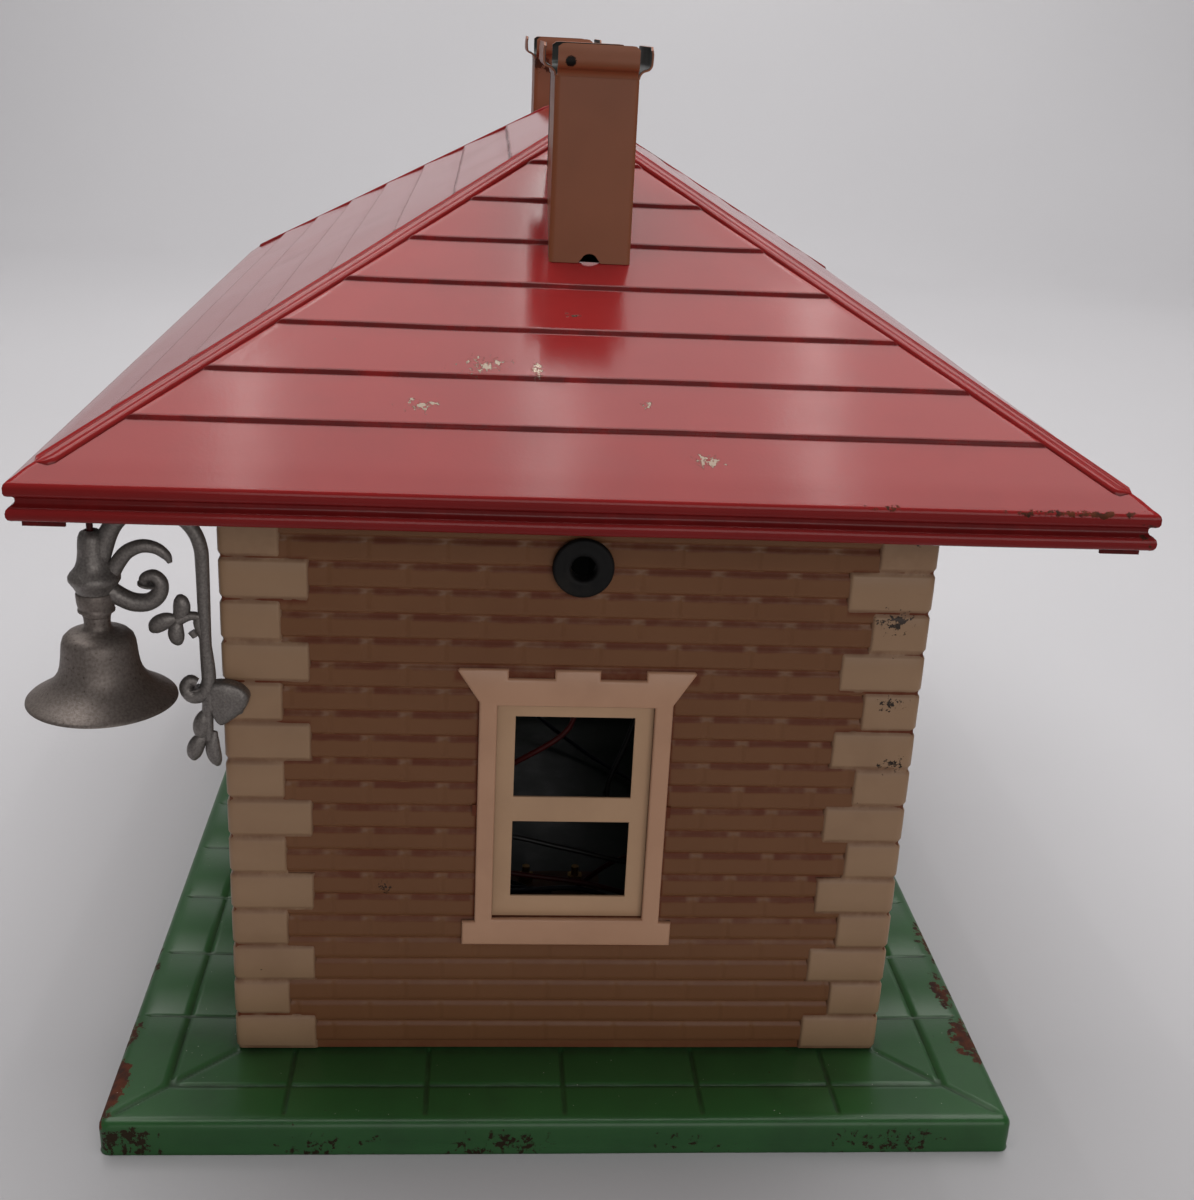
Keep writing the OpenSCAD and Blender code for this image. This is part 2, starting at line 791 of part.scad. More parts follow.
rotate([0, 0, 180]) sash_side(-win_x);  // window_sash_back_1
rotate([0, 0, 180]) sash_side(win_x);  // window_sash_back_2
casing_clips();
door_frame();  // door_frame_front
rotate([0, 0, 180]) door_frame();  // door_frame_back
door_pins();
door_leaf();  // door_front_left
mirror([1, 0, 0]) door_leaf();  // door_front_right
rotate([0, 0, 180]) door_leaf();  // door_back_left
rotate([0, 0, 180]) mirror([1, 0, 0]) door_leaf();  // door_back_right
door_knob();  // knob_front_left
mirror([1, 0, 0]) door_knob();  // knob_front_right
rotate([0, 0, 180]) door_knob();  // knob_back_left
rotate([0, 0, 180]) mirror([1, 0, 0]) door_knob();  // knob_back_right
grommet();
roof_shell();
rib_bar();  // hip_rib_a_front
mirror([0, 1, 0]) rib_bar();  // hip_rib_a_back
mirror([1, 0, 0]) rib_bar();  // hip_rib_b_front
mirror([1, 0, 0]) mirror([0, 1, 0]) rib_bar();  // hip_rib_b_back
chimney();  // chimney_a
mirror([1, 0, 0]) chimney();  // chimney_b
eave_tabs();
lamp_bracket();  // lamp_bracket_a
mirror([1, 0, 0]) lamp_bracket();  // lamp_bracket_b
bracket_screws();
lamp_socket();  // lamp_socket_a
mirror([1, 0, 0]) lamp_socket();  // lamp_socket_b
lamp_shade();  // lamp_shade_a
mirror([1, 0, 0]) lamp_shade();  // lamp_shade_b
lamp_bulb();  // lamp_bulb_a
mirror([1, 0, 0]) lamp_bulb();  // lamp_bulb_b
lamp_wire_a();
lamp_wire_b();
room_lamp_bracket();
room_lamp_socket();
room_lamp_bulb();
room_wire();
terminal_strip();
terminal_nuts();
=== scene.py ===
"""Looks of the toy railway station: pressed and enamelled sheet, cast lamp brackets, plated bell lamps.

Each sub-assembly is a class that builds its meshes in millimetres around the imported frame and
dresses them in its finish. Axes: +X along the ridge towards the end with the grommet, -Y the
lamp side, +Z up.
"""
from __future__ import annotations

import logging
from collections.abc import Callable, Sequence
from dataclasses import dataclass, field
from enum import Enum
from math import copysign, cos, floor, hypot, pi, radians, sin, sqrt

import bmesh
import bpy
import numpy as np
from mathutils import Matrix, Vector, noise
from mathutils.geometry import tessellate_polygon


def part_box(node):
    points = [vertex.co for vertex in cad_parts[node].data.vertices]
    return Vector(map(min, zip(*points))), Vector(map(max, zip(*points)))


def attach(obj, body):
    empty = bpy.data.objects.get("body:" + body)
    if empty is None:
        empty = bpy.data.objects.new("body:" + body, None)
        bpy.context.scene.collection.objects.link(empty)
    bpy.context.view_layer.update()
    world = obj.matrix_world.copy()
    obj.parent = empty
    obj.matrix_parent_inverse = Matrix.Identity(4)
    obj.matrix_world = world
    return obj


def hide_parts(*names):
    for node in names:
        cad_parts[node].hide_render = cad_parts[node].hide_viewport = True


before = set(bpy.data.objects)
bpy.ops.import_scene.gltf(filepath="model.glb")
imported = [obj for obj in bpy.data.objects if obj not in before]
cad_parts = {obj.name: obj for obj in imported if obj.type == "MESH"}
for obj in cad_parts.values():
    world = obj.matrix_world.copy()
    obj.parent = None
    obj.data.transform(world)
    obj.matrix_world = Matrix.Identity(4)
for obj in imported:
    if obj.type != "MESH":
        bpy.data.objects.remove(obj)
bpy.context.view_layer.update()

MM = 0.001
LOG = logging.getLogger("station")
Point = tuple[float, float, float]
Flat = tuple[float, float]
Shade = tuple[int, int, int]
Material = bpy.types.Material
Tree = bpy.types.NodeTree
Node = bpy.types.Node
Socket = bpy.types.NodeSocket
QUARTERS = ((1, 0), (0, 1), (-1, 0), (0, -1))


class Slot(Enum):
    """Material slots of the record."""

    RED = "enamel_red"
    GREEN = "enamel_green"
    BRICK = "enamel_brick"
    CREAM = "enamel_cream"
    TAN = "enamel_tan"
    DOOR = "enamel_door"
    CASTING = "casting"
    PLATED = "plated"
    BRASS = "brass"
    RUBBER = "rubber"
    INSULATION = "insulation"
    BULB = "bulb"


@dataclass(frozen=True)
class Extent:
    """Lowest and highest corner of a CAD node, in millimetres."""

    lo: Vector
    hi: Vector

    @classmethod
    def of(cls, node: str) -> Extent:
        """Extent of the named CAD node."""
        lo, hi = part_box(node)
        return cls(lo / MM, hi / MM)

    @property
    def mid(self) -> Vector:
        """Middle of the extent."""
        return (self.lo + self.hi) / 2


# ---------- mesh drafts ----------
@dataclass
class Draft:
    """Points and faces of one piece in the making, in millimetres, with a tone for each point."""

    points: list[Point] = field(default_factory=list)
    faces: list[tuple[int, ...]] = field(default_factory=list)
    tones: list[float] = field(default_factory=list)

    def add(self, points: Sequence[Point], faces: Sequence[tuple[int, ...]], tone: float = 1.0) -> None:
        """Appends points, and faces that index them.

        Args:
            points: new points.
            faces: faces, indexing the new points from 0.
            tone: tone of every new point, 0 in a recess and 1 on a crown.
        """
        base = len(self.points)
        self.points.extend(tuple(map(float, p)) for p in points)
        self.faces.extend(tuple(base + i for i in f) for f in faces)
        self.tones.extend([tone] * len(points))

    def grid(self, rows: np.ndarray, keep: np.ndarray | None = None, tone: np.ndarray | float = 1.0,
             closed: bool = False, flip: bool = False) -> None:
        """Appends a sheet of quads.

        Args:
            rows: points, shaped (rows, columns, 3).
            keep: which cells to make, shaped (rows - 1, columns - 1).
            tone: tone of all points, or of each, shaped (rows, columns).
            closed: joins the last column to the first.
            flip: turns the faces over.
        """
        n, m = rows.shape[:2]
        base = len(self.points)
        self.points.extend(map(tuple, rows.reshape(-1, 3).tolist()))
        self.tones.extend(np.broadcast_to(tone, (n, m)).ravel().tolist())
        for i in range(n - 1):
            for j in range(m if closed else m - 1):
                if keep is not None and not keep[i, j]:
                    continue
                k = (j + 1) % m
                quad = (base + i * m + j, base + i * m + k, base + (i + 1) * m + k, base + (i + 1) * m + j)
                self.faces.append(quad[::-1] if flip else quad)

    def sheet(self, front: np.ndarray, back: np.ndarray, keep: np.ndarray | None = None,
              tone: np.ndarray | float = 1.0) -> None:
        """Appends a closed sheet: a front, a back and the edges of every kept region.

        Args:
            front: outer points, shaped (rows, columns, 3).
            back: inner points of the same shape.
            keep: which cells exist.
            tone: tone of each point of the front; the back is given tone -1, for the inner side, painted dark
                as bare metal and as the shade inside the house.
        """
        n, m = front.shape[:2]
        cells = np.ones((n - 1, m - 1), bool) if keep is None else keep
        base = len(self.points)
        self.grid(front, cells, tone)
        under = len(self.points)
        self.grid(back, cells, -1.0, flip=True)
        padded = np.zeros((n + 1, m + 1), bool)
        padded[1:-1, 1:-1] = cells
        along = [(i, j, padded[i, j + 1], padded[i + 1, j + 1], 1) for i in range(n) for j in range(m - 1)]
        up = [(i, j, padded[i + 1, j + 1], padded[i + 1, j], m) for i in range(n - 1) for j in range(m)]
        for i, j, one, other, stride in along + up:
            if one != other:
                ends = (i * m + j, i * m + j + stride)
                a, b = ends if one else ends[::-1]
                self.faces.append((base + a, base + b, under + b, under + a))

    def tube(self, path: Sequence[Vector], radii: Sequence[float], side: Vector, flat: float = 1.0,
             sides: int = 12, tone: float = 1.0) -> None:
        """Appends a closed round bar along a path.

        Args:
            path: middle line.
            radii: radius at each point of the path.
            side: direction in which the section may be flattened.
            flat: share of the radius kept along that direction.
            sides: number of sides of the section.
            tone: tone of its points.
        """
        rings = []
        for i, centre in enumerate(path):
            ahead = (path[min(i + 1, len(path) - 1)] - path[max(i - 1, 0)]).normalized()
            across = ahead.cross(side).normalized()
            out = across.cross(ahead).normalized()
            ring = []
            for j in range(sides):
                a = 2 * pi * j / sides
                ring.append(centre + radii[i] * (across * cos(a) + out * sin(a) * flat))
            rings.append(ring)
        self.grid(np.array(rings), closed=True, tone=tone)
        order = tuple(range(sides))
        self.add(rings[0], [order[::-1]], tone)
        self.add(rings[-1], [order], tone)

    def lathe(self, profile: Sequence[Flat], centre: Vector, axis: Vector = Vector((0, 0, 1)),
              sides: int = 48, tone: float = 1.0) -> None:
        """Appends a turned piece.

        Args:
            profile: (radius, height) pairs along the outline.
            centre: foot of the axis.
            axis: direction of the axis.
            sides: number of sides round the axis.
            tone: tone of its points.
        """
        turn = axis.to_track_quat("Z", "Y").to_matrix()
        rows = []
        for r, h in profile:
            row = []
            for j in range(sides):
                a = 2 * pi * j / sides
                row.append(centre + turn @ Vector((r * cos(a), r * sin(a), h)))
            rows.append(row)
        self.grid(np.array(rows), closed=True, tone=tone)

    def plate(self, outline: Sequence[Flat], holes: Sequence[Sequence[Flat]], place: Callable[..., Point],
              depth: float, bevel: float, steps: int = 3, back: float = -1.0) -> None:
        """Appends a flat plate with rounded front edges.

        Args:
            outline: corners of its edge, anticlockwise.
            holes: outlines of its holes, anticlockwise.
            place: puts (across, up, out).
            depth: thickness, from out = 0.
            bevel: radius of the rounded edges.
            steps: faces across a rounded edge.
            back: tone of the back.
        """
        fronts = []
        for ring, grow in [(outline, -1.0), *[(h, 1.0) for h in holes]]:
            rows = [[place(x, y, 0.0) for x, y in ring]]
            for k in range(steps + 1):
                a = pi / 2 * k / steps
                inset = bevel * (1 - cos(a)) * grow
                out = depth - bevel + bevel * sin(a)
                rows.append([place(x, y, out) for x, y in offset(ring, inset)])
            tone = np.ones((len(rows), len(ring)))
            # Tone 0 along the foot of the edge darkens it where the plate meets the surface behind: painted
            # shade with soiling.
            tone[0] = 0.0
            self.grid(np.array(rows), closed=True, flip=grow > 0, tone=tone)
            fronts.append(offset(ring, bevel * grow))
        for rings, out, tone in ((fronts, depth, 1.0), ((outline, *holes), 0.0, back)):
            corners = [[Vector((x, y, 0)) for x, y in ring] for ring in rings]
            triangles = [tuple(t) for t in tessellate_polygon(corners)]
            self.add([place(v.x, v.y, out) for ring in corners for v in ring], triangles, tone)


def offset(ring: Sequence[Flat], distance: float) -> list[Flat]:
    """Moves an anticlockwise outline outwards by a distance, with square corners.

    Args:
        ring: corners of the outline.
        distance: how far to move, negative inwards.

    Returns:
        The moved corners.
    """
    moved = []
    n = len(ring)
    for i in range(n):
        a, b, c = Vector(ring[i - 1]), Vector(ring[i]), Vector(ring[(i + 1) % n])
        u, v = (b - a).normalized(), (c - b).normalized()
        m, k = Vector((u.y, -u.x)), Vector((v.y, -v.x))
        bisector = m + k
        scale = 2 / max(bisector.length_squared, 0.5)
        moved.append(tuple(b + bisector * distance * scale))
    return moved


def rectangle(x0: float, x1: float, y0: float, y1: float) -> list[Flat]:
    """Corners of a rectangle, anticlockwise."""
    return [(x0, y0), (x1, y0), (x1, y1), (x0, y1)]


def arc(centre: Flat, radius: float, start: float, end: float, steps: int = 12) -> list[Flat]:
    """Points along an arc, with angles in degrees."""
    angles = np.radians(np.linspace(start, end, steps + 1))
    return [(centre[0] + radius * cos(a), centre[1] + radius * sin(a)) for a in angles]


def smooth_curve(points: Sequence[Sequence[float]], steps: int) -> list[Vector]:
    """Curve through given points.

    Args:
        points: points that the curve passes through.
        steps: points made between each two.

    Returns:
        Points along the curve.
    """
    p = [Vector(q) for q in points]
    made = []
    for i in range(len(p) - 1):
        a, b, c, d = p[max(i - 1, 0)], p[i], p[i + 1], p[min(i + 2, len(p) - 1)]
        for k in range(steps):
            t = k / steps
            made.append(0.5 * (2 * b + (c - a) * t + (2 * a - 5 * b + 4 * c - d) * t * t
                               + (3 * b - a - 3 * c + d) * t ** 3))
    return [*made, p[-1]]


def ease(value: float, start: float, end: float) -> float:
    """Smooth step from 0 at start to 1 at end."""
    t = min(max((value - start) / (end - start), 0.0), 1.0)
    return t * t * (3 - 2 * t)


def ripple(x: float, y: float, z: float, size: float) -> float:
    """Even noise between -1 and 1 with features of the given size in millimetres."""
    return noise.noise(Vector((x / size, y / size, z / size)))


@dataclass(frozen=True)
class Face:
    """One vertical face of the building: places (across, up, out)."""

    turn: int
    distance: float

    def __call__(self, across: float, up: float, out: float) -> Point:
        """Point at that place on the face."""
        c, s = QUARTERS[self.turn % 4]
        reach = self.distance + out
        return (c * reach - s * across, s * reach + c * across, up)

    def across(self, point: Vector) -> float:
        """How far across the face a point lies."""
        c, s = QUARTERS[self.turn % 4]
        return c * point.y - s * point.x


def link(made: bpy.types.Object) -> None:
    """Puts an object in the scene."""
    bpy.context.scene.collection.objects.link(made)


def publish(draft: Draft, name: str, finish: Material, slot: Slot, node: str, sharp: float = 50,
            outward: bool = False, weld: float = 0.004, body: str = "building") -> bpy.types.Object:
    """Makes the Blender object of a draft and hangs it on its body.

    Args:
        draft: the finished draft.
        name: name of the piece.
        finish: its material.
        slot: material slot of the record; not used.
        node: CAD node that it stands for.
        sharp: edges steeper than this many degrees stay sharp.
        outward: makes all faces point outwards.
        weld: points closer than this, in millimetres, become one.
        body: CAD body that it rides on.

    Returns:
        The object.
    """
    mesh = bpy.data.meshes.new(name)
    mesh.from_pydata([tuple(c * MM for c in p) for p in draft.points], [], draft.faces)
    tone = mesh.attributes.new("tone", "FLOAT", "POINT")
    tone.data.foreach_set("value", np.array(draft.tones, np.float32))
    work = bmesh.new()
    work.from_mesh(mesh)
    bmesh.ops.remove_doubles(work, verts=work.verts, dist=weld * MM)
    bmesh.ops.dissolve_degenerate(work, edges=work.edges, dist=weld * MM / 4)
    if outward:
        bmesh.ops.recalc_face_normals(work, faces=work.faces)
    work.to_mesh(mesh)
    work.free()
    mesh.polygons.foreach_set("use_smooth", [True] * len(mesh.polygons))
    mesh.set_sharp_from_angle(angle=radians(sharp))
    mesh.materials.append(finish)
    piece = bpy.data.objects.new(name, mesh)
    link(piece)
    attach(piece, body)
    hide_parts(node)
    LOG.info("%s: %d faces on body %s", name, len(mesh.polygons), body)
    return piece


# ---------- shader node groups ----------
def linear(red: int, green: int, blue: int) -> tuple[float, float, float, float]:
    """Linear colour of an 8-bit display colour."""
    values = []
    for part in (red, green, blue):
        v = part / 255
        values.append(v / 12.92 if v <= 0.04045 else ((v + 0.055) / 1.055) ** 2.4)
    return (*values, 1.0)


class Graph:
    """Short calls for building one node tree."""

    def __init__(self, tree: Tree, owner: Material | None = None) -> None:
        """Works on the given tree of the given material."""
        self.tree = tree
        self.owner = owner

    def node(self, kind: str, **settings: object) -> Node:
        """Adds a node and sets its properties."""
        made = self.tree.nodes.new(kind)
        for name, value in settings.items():
            setattr(made, name, value)
        return made

    def feed(self, socket: Socket, value: object) -> None:
        """Links an output to an input, or sets the input's value."""
        if isinstance(value, Socket):
            self.tree.links.new(value, socket)
        else:
            socket.default_value = value

    def math(self, operation: str, a: object, b: object = 0.0, clamp: bool = False) -> Socket:
        """Result of a Math node.

        Args:
            operation: what it does.
            a: first value or output.
            b: second value or output.
            clamp: keeps the result between 0 and 1.
        """
        made = self.node("ShaderNodeMath", operation=operation, use_clamp=clamp)
        self.feed(made.inputs[0], a)
        self.feed(made.inputs[1], b)
        return made.outputs[0]

    def times(self, a: object, b: object) -> Socket:
        """Product of two values."""
        return self.math("MULTIPLY", a, b)

    def plus(self, a: object, b: object, clamp: bool = False) -> Socket:
        """Sum of two values."""
        return self.math("ADD", a, b, clamp)

    def vector_math(self, operation: str, a: object, b: object) -> Node:
        """A Vector Math node with both inputs fed."""
        made = self.node("ShaderNodeVectorMath", operation=operation)
        self.feed(made.inputs[0], a)
        self.feed(made.inputs[1], b)
        return made

    def mix(self, factor: object, a: object, b: object) -> Socket:
        """Mix of two colours."""
        made = self.node("ShaderNodeMix", data_type="RGBA")
        self.feed(made.inputs[0], factor)
        self.feed(made.inputs[6], a)
        self.feed(made.inputs[7], b)
        return made.outputs[2]

    def blend(self, factor: object, a: object, b: object) -> Socket:
        """Mix of two values."""
        made = self.node("ShaderNodeMix", data_type="FLOAT")
        self.feed(made.inputs[0], factor)
        self.feed(made.inputs[2], a)
        self.feed(made.inputs[3], b)
        return made.outputs[0]

    def step(self, value: object, low: object, high: object) -> Socket:
        """Smooth step of a value from 0 at low to 1 at high."""
        made = self.node("ShaderNodeMapRange", interpolation_type="SMOOTHSTEP")
        self.feed(made.inputs["Value"], value)
        self.feed(made.inputs["From Min"], low)
        self.feed(made.inputs["From Max"], high)
        return made.outputs["Result"]

    def place(self) -> Socket:
        """Place on the object, in millimetres."""
        coords = self.node("ShaderNodeTexCoord").outputs["Object"]
        made = self.node("ShaderNodeVectorMath", operation="SCALE")
        self.feed(made.inputs[0], coords)
        made.inputs["Scale"].default_value = 1 / MM
        return made.outputs[0]

    def noise(self, place: Socket, size: object, detail: float = 3.0,
              rough: float = 0.55) -> Socket:
        """Noise around 0.5.

        Args:
            place: where it is read.
            size: size of its features in millimetres.
            detail: number of finer layers.
            rough: strength of the finer layers.
        """
        made = self.node("ShaderNodeTexNoise")
        self.feed(made.inputs["Vector"], place)
        self.feed(made.inputs["Scale"], self.math("DIVIDE", 1.0, size))
        made.inputs["Detail"].default_value = detail
        made.inputs["Roughness"].default_value = rough
        return made.outputs["Fac"]


def new_group(name: str, inputs: Sequence[tuple[str, str, object]],
              outputs: Sequence[tuple[str, str]],
              ) -> tuple[Graph, dict[str, Socket], Node]:
    """Starts a shader node group.

    Args:
        name: its name.
        inputs: (name, kind, default) of each input.
        outputs: (name, kind) of each output.

    Returns:
        The graph, its inputs by name, and the output node.
    """
    tree = bpy.data.node_groups.new(name, "ShaderNodeTree")
    for label, kind, default in inputs:
        socket = tree.interface.new_socket(name=label, in_out="INPUT", socket_type=kind)
        socket.default_value = default
    for label, kind in outputs:
        tree.interface.new_socket(name=label, in_out="OUTPUT", socket_type=kind)
    graph = Graph(tree)
    entry = graph.node("NodeGroupInput")
    return graph, {s.name: s for s in entry.outputs if s.name}, graph.node("NodeGroupOutput")


FLOAT, COLOUR, VECTOR = "NodeSocketFloat", "NodeSocketColor", "NodeSocketVector"


def make_drift() -> Tree:
    """Group: a colour that drifts slowly towards a second one."""
    g, i, out = new_group("colour_drift", [
        ("Base", COLOUR, (1, 1, 1, 1)), ("Second", COLOUR, (0, 0, 0, 1)), ("Size", FLOAT, 30.0),
        ("Amount", FLOAT, 0.5)], [("Colour", COLOUR)])
    cloud = g.noise(g.place(), i["Size"], 4.0)
    share = g.times(g.step(cloud, 0.3, 0.75), i["Amount"])
    g.feed(out.inputs["Colour"], g.mix(share, i["Base"], i["Second"]))
    return g.tree


def make_grime_and_shade() -> Tree:
    """Group: mask of painted shade and soiling held in recesses, and of soiling in soft blotches."""
    g, i, out = new_group("grime_and_shade", [
        ("Size", FLOAT, 12.0), ("Recess", FLOAT, 0.5), ("Blotch", FLOAT, 0.2)], [("Mask", FLOAT)])
    tone = g.node("ShaderNodeAttribute", attribute_name="tone").outputs["Fac"]
    place = g.place()
    cloud = g.noise(place, i["Size"], 5.0, 0.65)
    # Where the tone is low (recesses, joints, laps, beside trim) the paint darkens: painted shade together
    # with soiling.
    recess_shade_and_dirt = g.times(g.math("SUBTRACT", 1.0, tone, True), i["Recess"])
    recess_shade_and_dirt = g.times(recess_shade_and_dirt, g.step(cloud, 0.2, 0.6))
    blotch = g.times(g.step(g.noise(place, g.times(i["Size"], 2.7), 4.0), 0.45, 0.8),
                    i["Blotch"])
    g.feed(out.inputs["Mask"], g.plus(recess_shade_and_dirt, blotch, True))
    return g.tree


def make_inner_side_and_shade() -> Tree:
    """Group: mask of the inner side, where the tone is below zero: bare metal, and painted shade inside the
    closed house.
    """
    g, i, out = new_group("inner_side_and_shade", [("Amount", FLOAT, 1.0)], [("Mask", FLOAT)])
    tone = g.node("ShaderNodeAttribute", attribute_name="tone").outputs["Fac"]
    g.feed(out.inputs["Mask"], g.times(g.step(tone, -0.4, -0.7), i["Amount"]))
    return g.tree


def make_chips() -> Tree:
    """Group: mask of small chips scattered over paint."""
    g, i, out = new_group("paint_chips", [
        ("Size", FLOAT, 2.0), ("Amount", FLOAT, 0.2)], [("Mask", FLOAT)])
    place = g.place()
    fleck = g.noise(place, i["Size"], 3.0, 0.6)
    patch = g.noise(place, g.times(i["Size"], 14.0), 2.0)
    level = g.plus(g.times(fleck, 0.75), g.times(patch, 0.25))
    edge = g.math("SUBTRACT", 0.78, g.times(i["Amount"], 0.28))
    g.feed(out.inputs["Mask"], g.step(level, edge, g.plus(edge, 0.012)))
    return g.tree


def make_spot() -> Tree:
    """Group: ragged mask inside an ellipsoid at a place on the object."""
    g, i, out = new_group("worn_and_shadow_spot", [
        ("Centre", VECTOR, (0, 0, 0)), ("Reach", VECTOR, (1, 1, 1)), ("Size", FLOAT, 2.0),
        ("Amount", FLOAT, 0.5)], [("Mask", FLOAT)])
    place = g.place()
    away = g.vector_math("SUBTRACT", place, i["Centre"]).outputs[0]
    scaled = g.vector_math("DIVIDE", away, i["Reach"]).outputs[0]
    length = g.node("ShaderNodeVectorMath", operation="LENGTH")
    g.feed(length.inputs[0], scaled)
    near = g.math("SUBTRACT", 1.0, length.outputs["Value"], True)
    fleck = g.noise(place, i["Size"], 5.0, 0.7)
    level = g.plus(fleck, g.times(g.math("POWER", near, 0.6), i["Amount"]))
    inside = g.math("GREATER_THAN", near, 0.001)
    mask = g.times(g.step(level, 0.84, 0.88), inside)
    g.feed(out.inputs["Mask"], mask)
    return g.tree


def make_skin() -> Tree:
    """Group: height of a sprayed or cast skin, coarse waves under fine grain."""
    g, i, out = new_group("skin_relief", [
        ("Size", FLOAT, 1.0), ("Waves", FLOAT, 0.5)], [("Height", FLOAT)])
    place = g.place()
    fine = g.noise(place, i["Size"], 2.0)
    wave = g.noise(place, g.times(i["Size"], 11.0), 2.0, 0.4)
    g.feed(out.inputs["Height"], g.plus(fine, g.times(wave, i["Waves"])))
    return g.tree


def make_dust() -> Tree:
    """Group: mask of pale specks lying on faces that look up."""
    g, i, out = new_group("dust_specks", [
        ("Size", FLOAT, 0.5), ("Amount", FLOAT, 0.3)], [("Mask", FLOAT)])
    place = g.place()
    normal = g.node("ShaderNodeNewGeometry").outputs["Normal"]
    up = g.node("ShaderNodeSeparateXYZ")
    g.feed(up.inputs[0], normal)
    cells = g.node("ShaderNodeTexVoronoi")
    g.feed(cells.inputs["Vector"], place)
    g.feed(cells.inputs["Scale"], g.math("DIVIDE", 0.16, i["Size"]))
    speck = g.math("LESS_THAN", cells.outputs["Distance"],
                   g.times(g.noise(place, 9.0, 3.0, 0.7), g.times(i["Amount"], 0.2)))
    g.feed(out.inputs["Mask"], g.times(speck, g.step(up.outputs["Z"], 0.4, 0.9)))
    return g.tree


class Groups:
    """The shared node groups, each made once and placed with its own values."""

    MAKERS = {"drift": make_drift, "grime_and_shade": make_grime_and_shade, "inside": make_inner_side_and_shade, "chips": make_chips,
              "spot": make_spot, "skin": make_skin, "dust": make_dust}
    made: dict[str, Tree] = {}

    @classmethod
    def use(cls, graph: Graph, name: str, **values: object) -> Socket:
        """Places a group in a tree.

        Args:
            graph: tree that receives it.
            name: one of MAKERS.
            **values: its inputs, by name.

        Returns:
            Its first output.
        """
        if name not in cls.made:
            cls.made[name] = cls.MAKERS[name]()
        placed = graph.node("ShaderNodeGroup", node_tree=cls.made[name])
        for label, value in values.items():
            graph.feed(placed.inputs[label], value)
        return placed.outputs[0]


# ---------- finishes ----------
@dataclass(frozen=True)
class Spot:
    """One place of wear, rust or painted shadow: where it is and how far it reaches, in millimetres."""

    centre: Point
    reach: Point
    size: float = 2.0
    amount: float = 0.5


@dataclass(frozen=True)
class Enamel:
    """Stoved enamel on sheet steel, with soiling and painted shade in its recesses, chips and rust.

    Attributes:
        name: material name.
        colour: display colour, 0 to 255.
        second: colour that it drifts to.
        rough: roughness of sound paint.
        level: strength of the paint's gloss, 0.5 as usual.
        dirt_and_shade: colour of the soiling, and of the painted shade where the tone is low.
        recess: how strongly recesses darken, painted shade and soiling together.
        blotch: how strong the soft blotches are.
        chips: how many small chips there are.
        chip_size: their size in millimetres.
        bare: colour where the paint is gone.
        dust: how many pale specks there are.
        inner: colour of the inner side, bare metal that also paints the shade inside the house.
        skin: size of the surface grain.
        bump: depth of the surface grain in millimetres.
        bare_and_shadow_spots: places where the paint is scraped to metal, and on the chimney lip a painted
            shadow dot.
        rust_spots: places that have rusted.
    """

    name: str
    colour: Shade
    second: Shade
    rough: float = 0.4
    level: float = 0.5
    dirt_and_shade: Shade = (44, 30, 24)
    recess: float = 0.6
    blotch: float = 0.12
    chips: float = 0.2
    chip_size: float = 1.6
    bare: Shade = (58, 50, 46)
    dust: float = 0.0
    inner: Shade = (34, 36, 33)
    skin: float = 0.9
    bump: float = 0.02
    bare_and_shadow_spots: tuple[Spot, ...] = ()
    rust_spots: tuple[Spot, ...] = ()

    def spots(self, g: Graph, spots: Sequence[Spot]) -> object:
        """Mask of all the given spots together."""
        total: object = 0.0
        for spot in spots:
            mask = Groups.use(g, "spot", Centre=spot.centre, Reach=spot.reach, Size=spot.size,
                              Amount=spot.amount)
            total = g.math("MAXIMUM", total, mask)
        return total

    def build(self) -> Material:
        """Makes the material."""
        g, shader = start_material(self.name, {"Specular IOR Level": self.level})
        paint = Groups.use(g, "drift", Base=linear(*self.colour), Second=linear(*self.second),
                           Size=34.0, Amount=0.6)
        # This mask darkens the paint in soiled blotches, and where the tone is low with painted shade and
        # soiling.
        grime_and_shade = Groups.use(g, "grime_and_shade", Size=9.0, Recess=self.recess, Blotch=self.blotch)
        chips = Groups.use(g, "chips", Size=self.chip_size, Amount=self.chips)
        # Scraped spots join the chips; the tan chimney's near-black spot is a painted shadow dot.
        chips = g.math("MAXIMUM", chips, self.spots(g, self.bare_and_shadow_spots))
        rust = self.spots(g, self.rust_spots)
        colour = g.mix(grime_and_shade, paint, linear(*self.dirt_and_shade))
        colour = g.mix(chips, colour, linear(*self.bare))
        rusty = Groups.use(g, "drift", Base=linear(92, 44, 22), Second=linear(46, 26, 20), Size=3.0,
                           Amount=1.0)
        colour = g.mix(rust, colour, rusty)
        if self.dust:
            specks = Groups.use(g, "dust", Size=0.5, Amount=self.dust)
            colour = g.mix(specks, colour, linear(196, 190, 182))
        # The inner sides take a dark colour: bare metal, and painted shade for the dark inside of the house.
        within = Groups.use(g, "inside", Amount=1.0)
        colour = g.mix(within, colour, linear(*self.inner))
        g.feed(shader.inputs["Base Color"], colour)
        sound = g.plus(self.rough, g.times(grime_and_shade, 0.25))
        g.feed(shader.inputs["Roughness"], g.blend(rust, sound, 0.85))
        g.feed(shader.inputs["Metallic"], g.times(chips, g.math("SUBTRACT", 0.7, rust, True)))
        lost = g.math("MAXIMUM", chips, rust)
        skin = Groups.use(g, "skin", Size=self.skin, Waves=1.5)
        worn = g.times(lost, -3.0)
        add_bump(g, shader, g.plus(skin, worn), self.bump)
        return g.owner


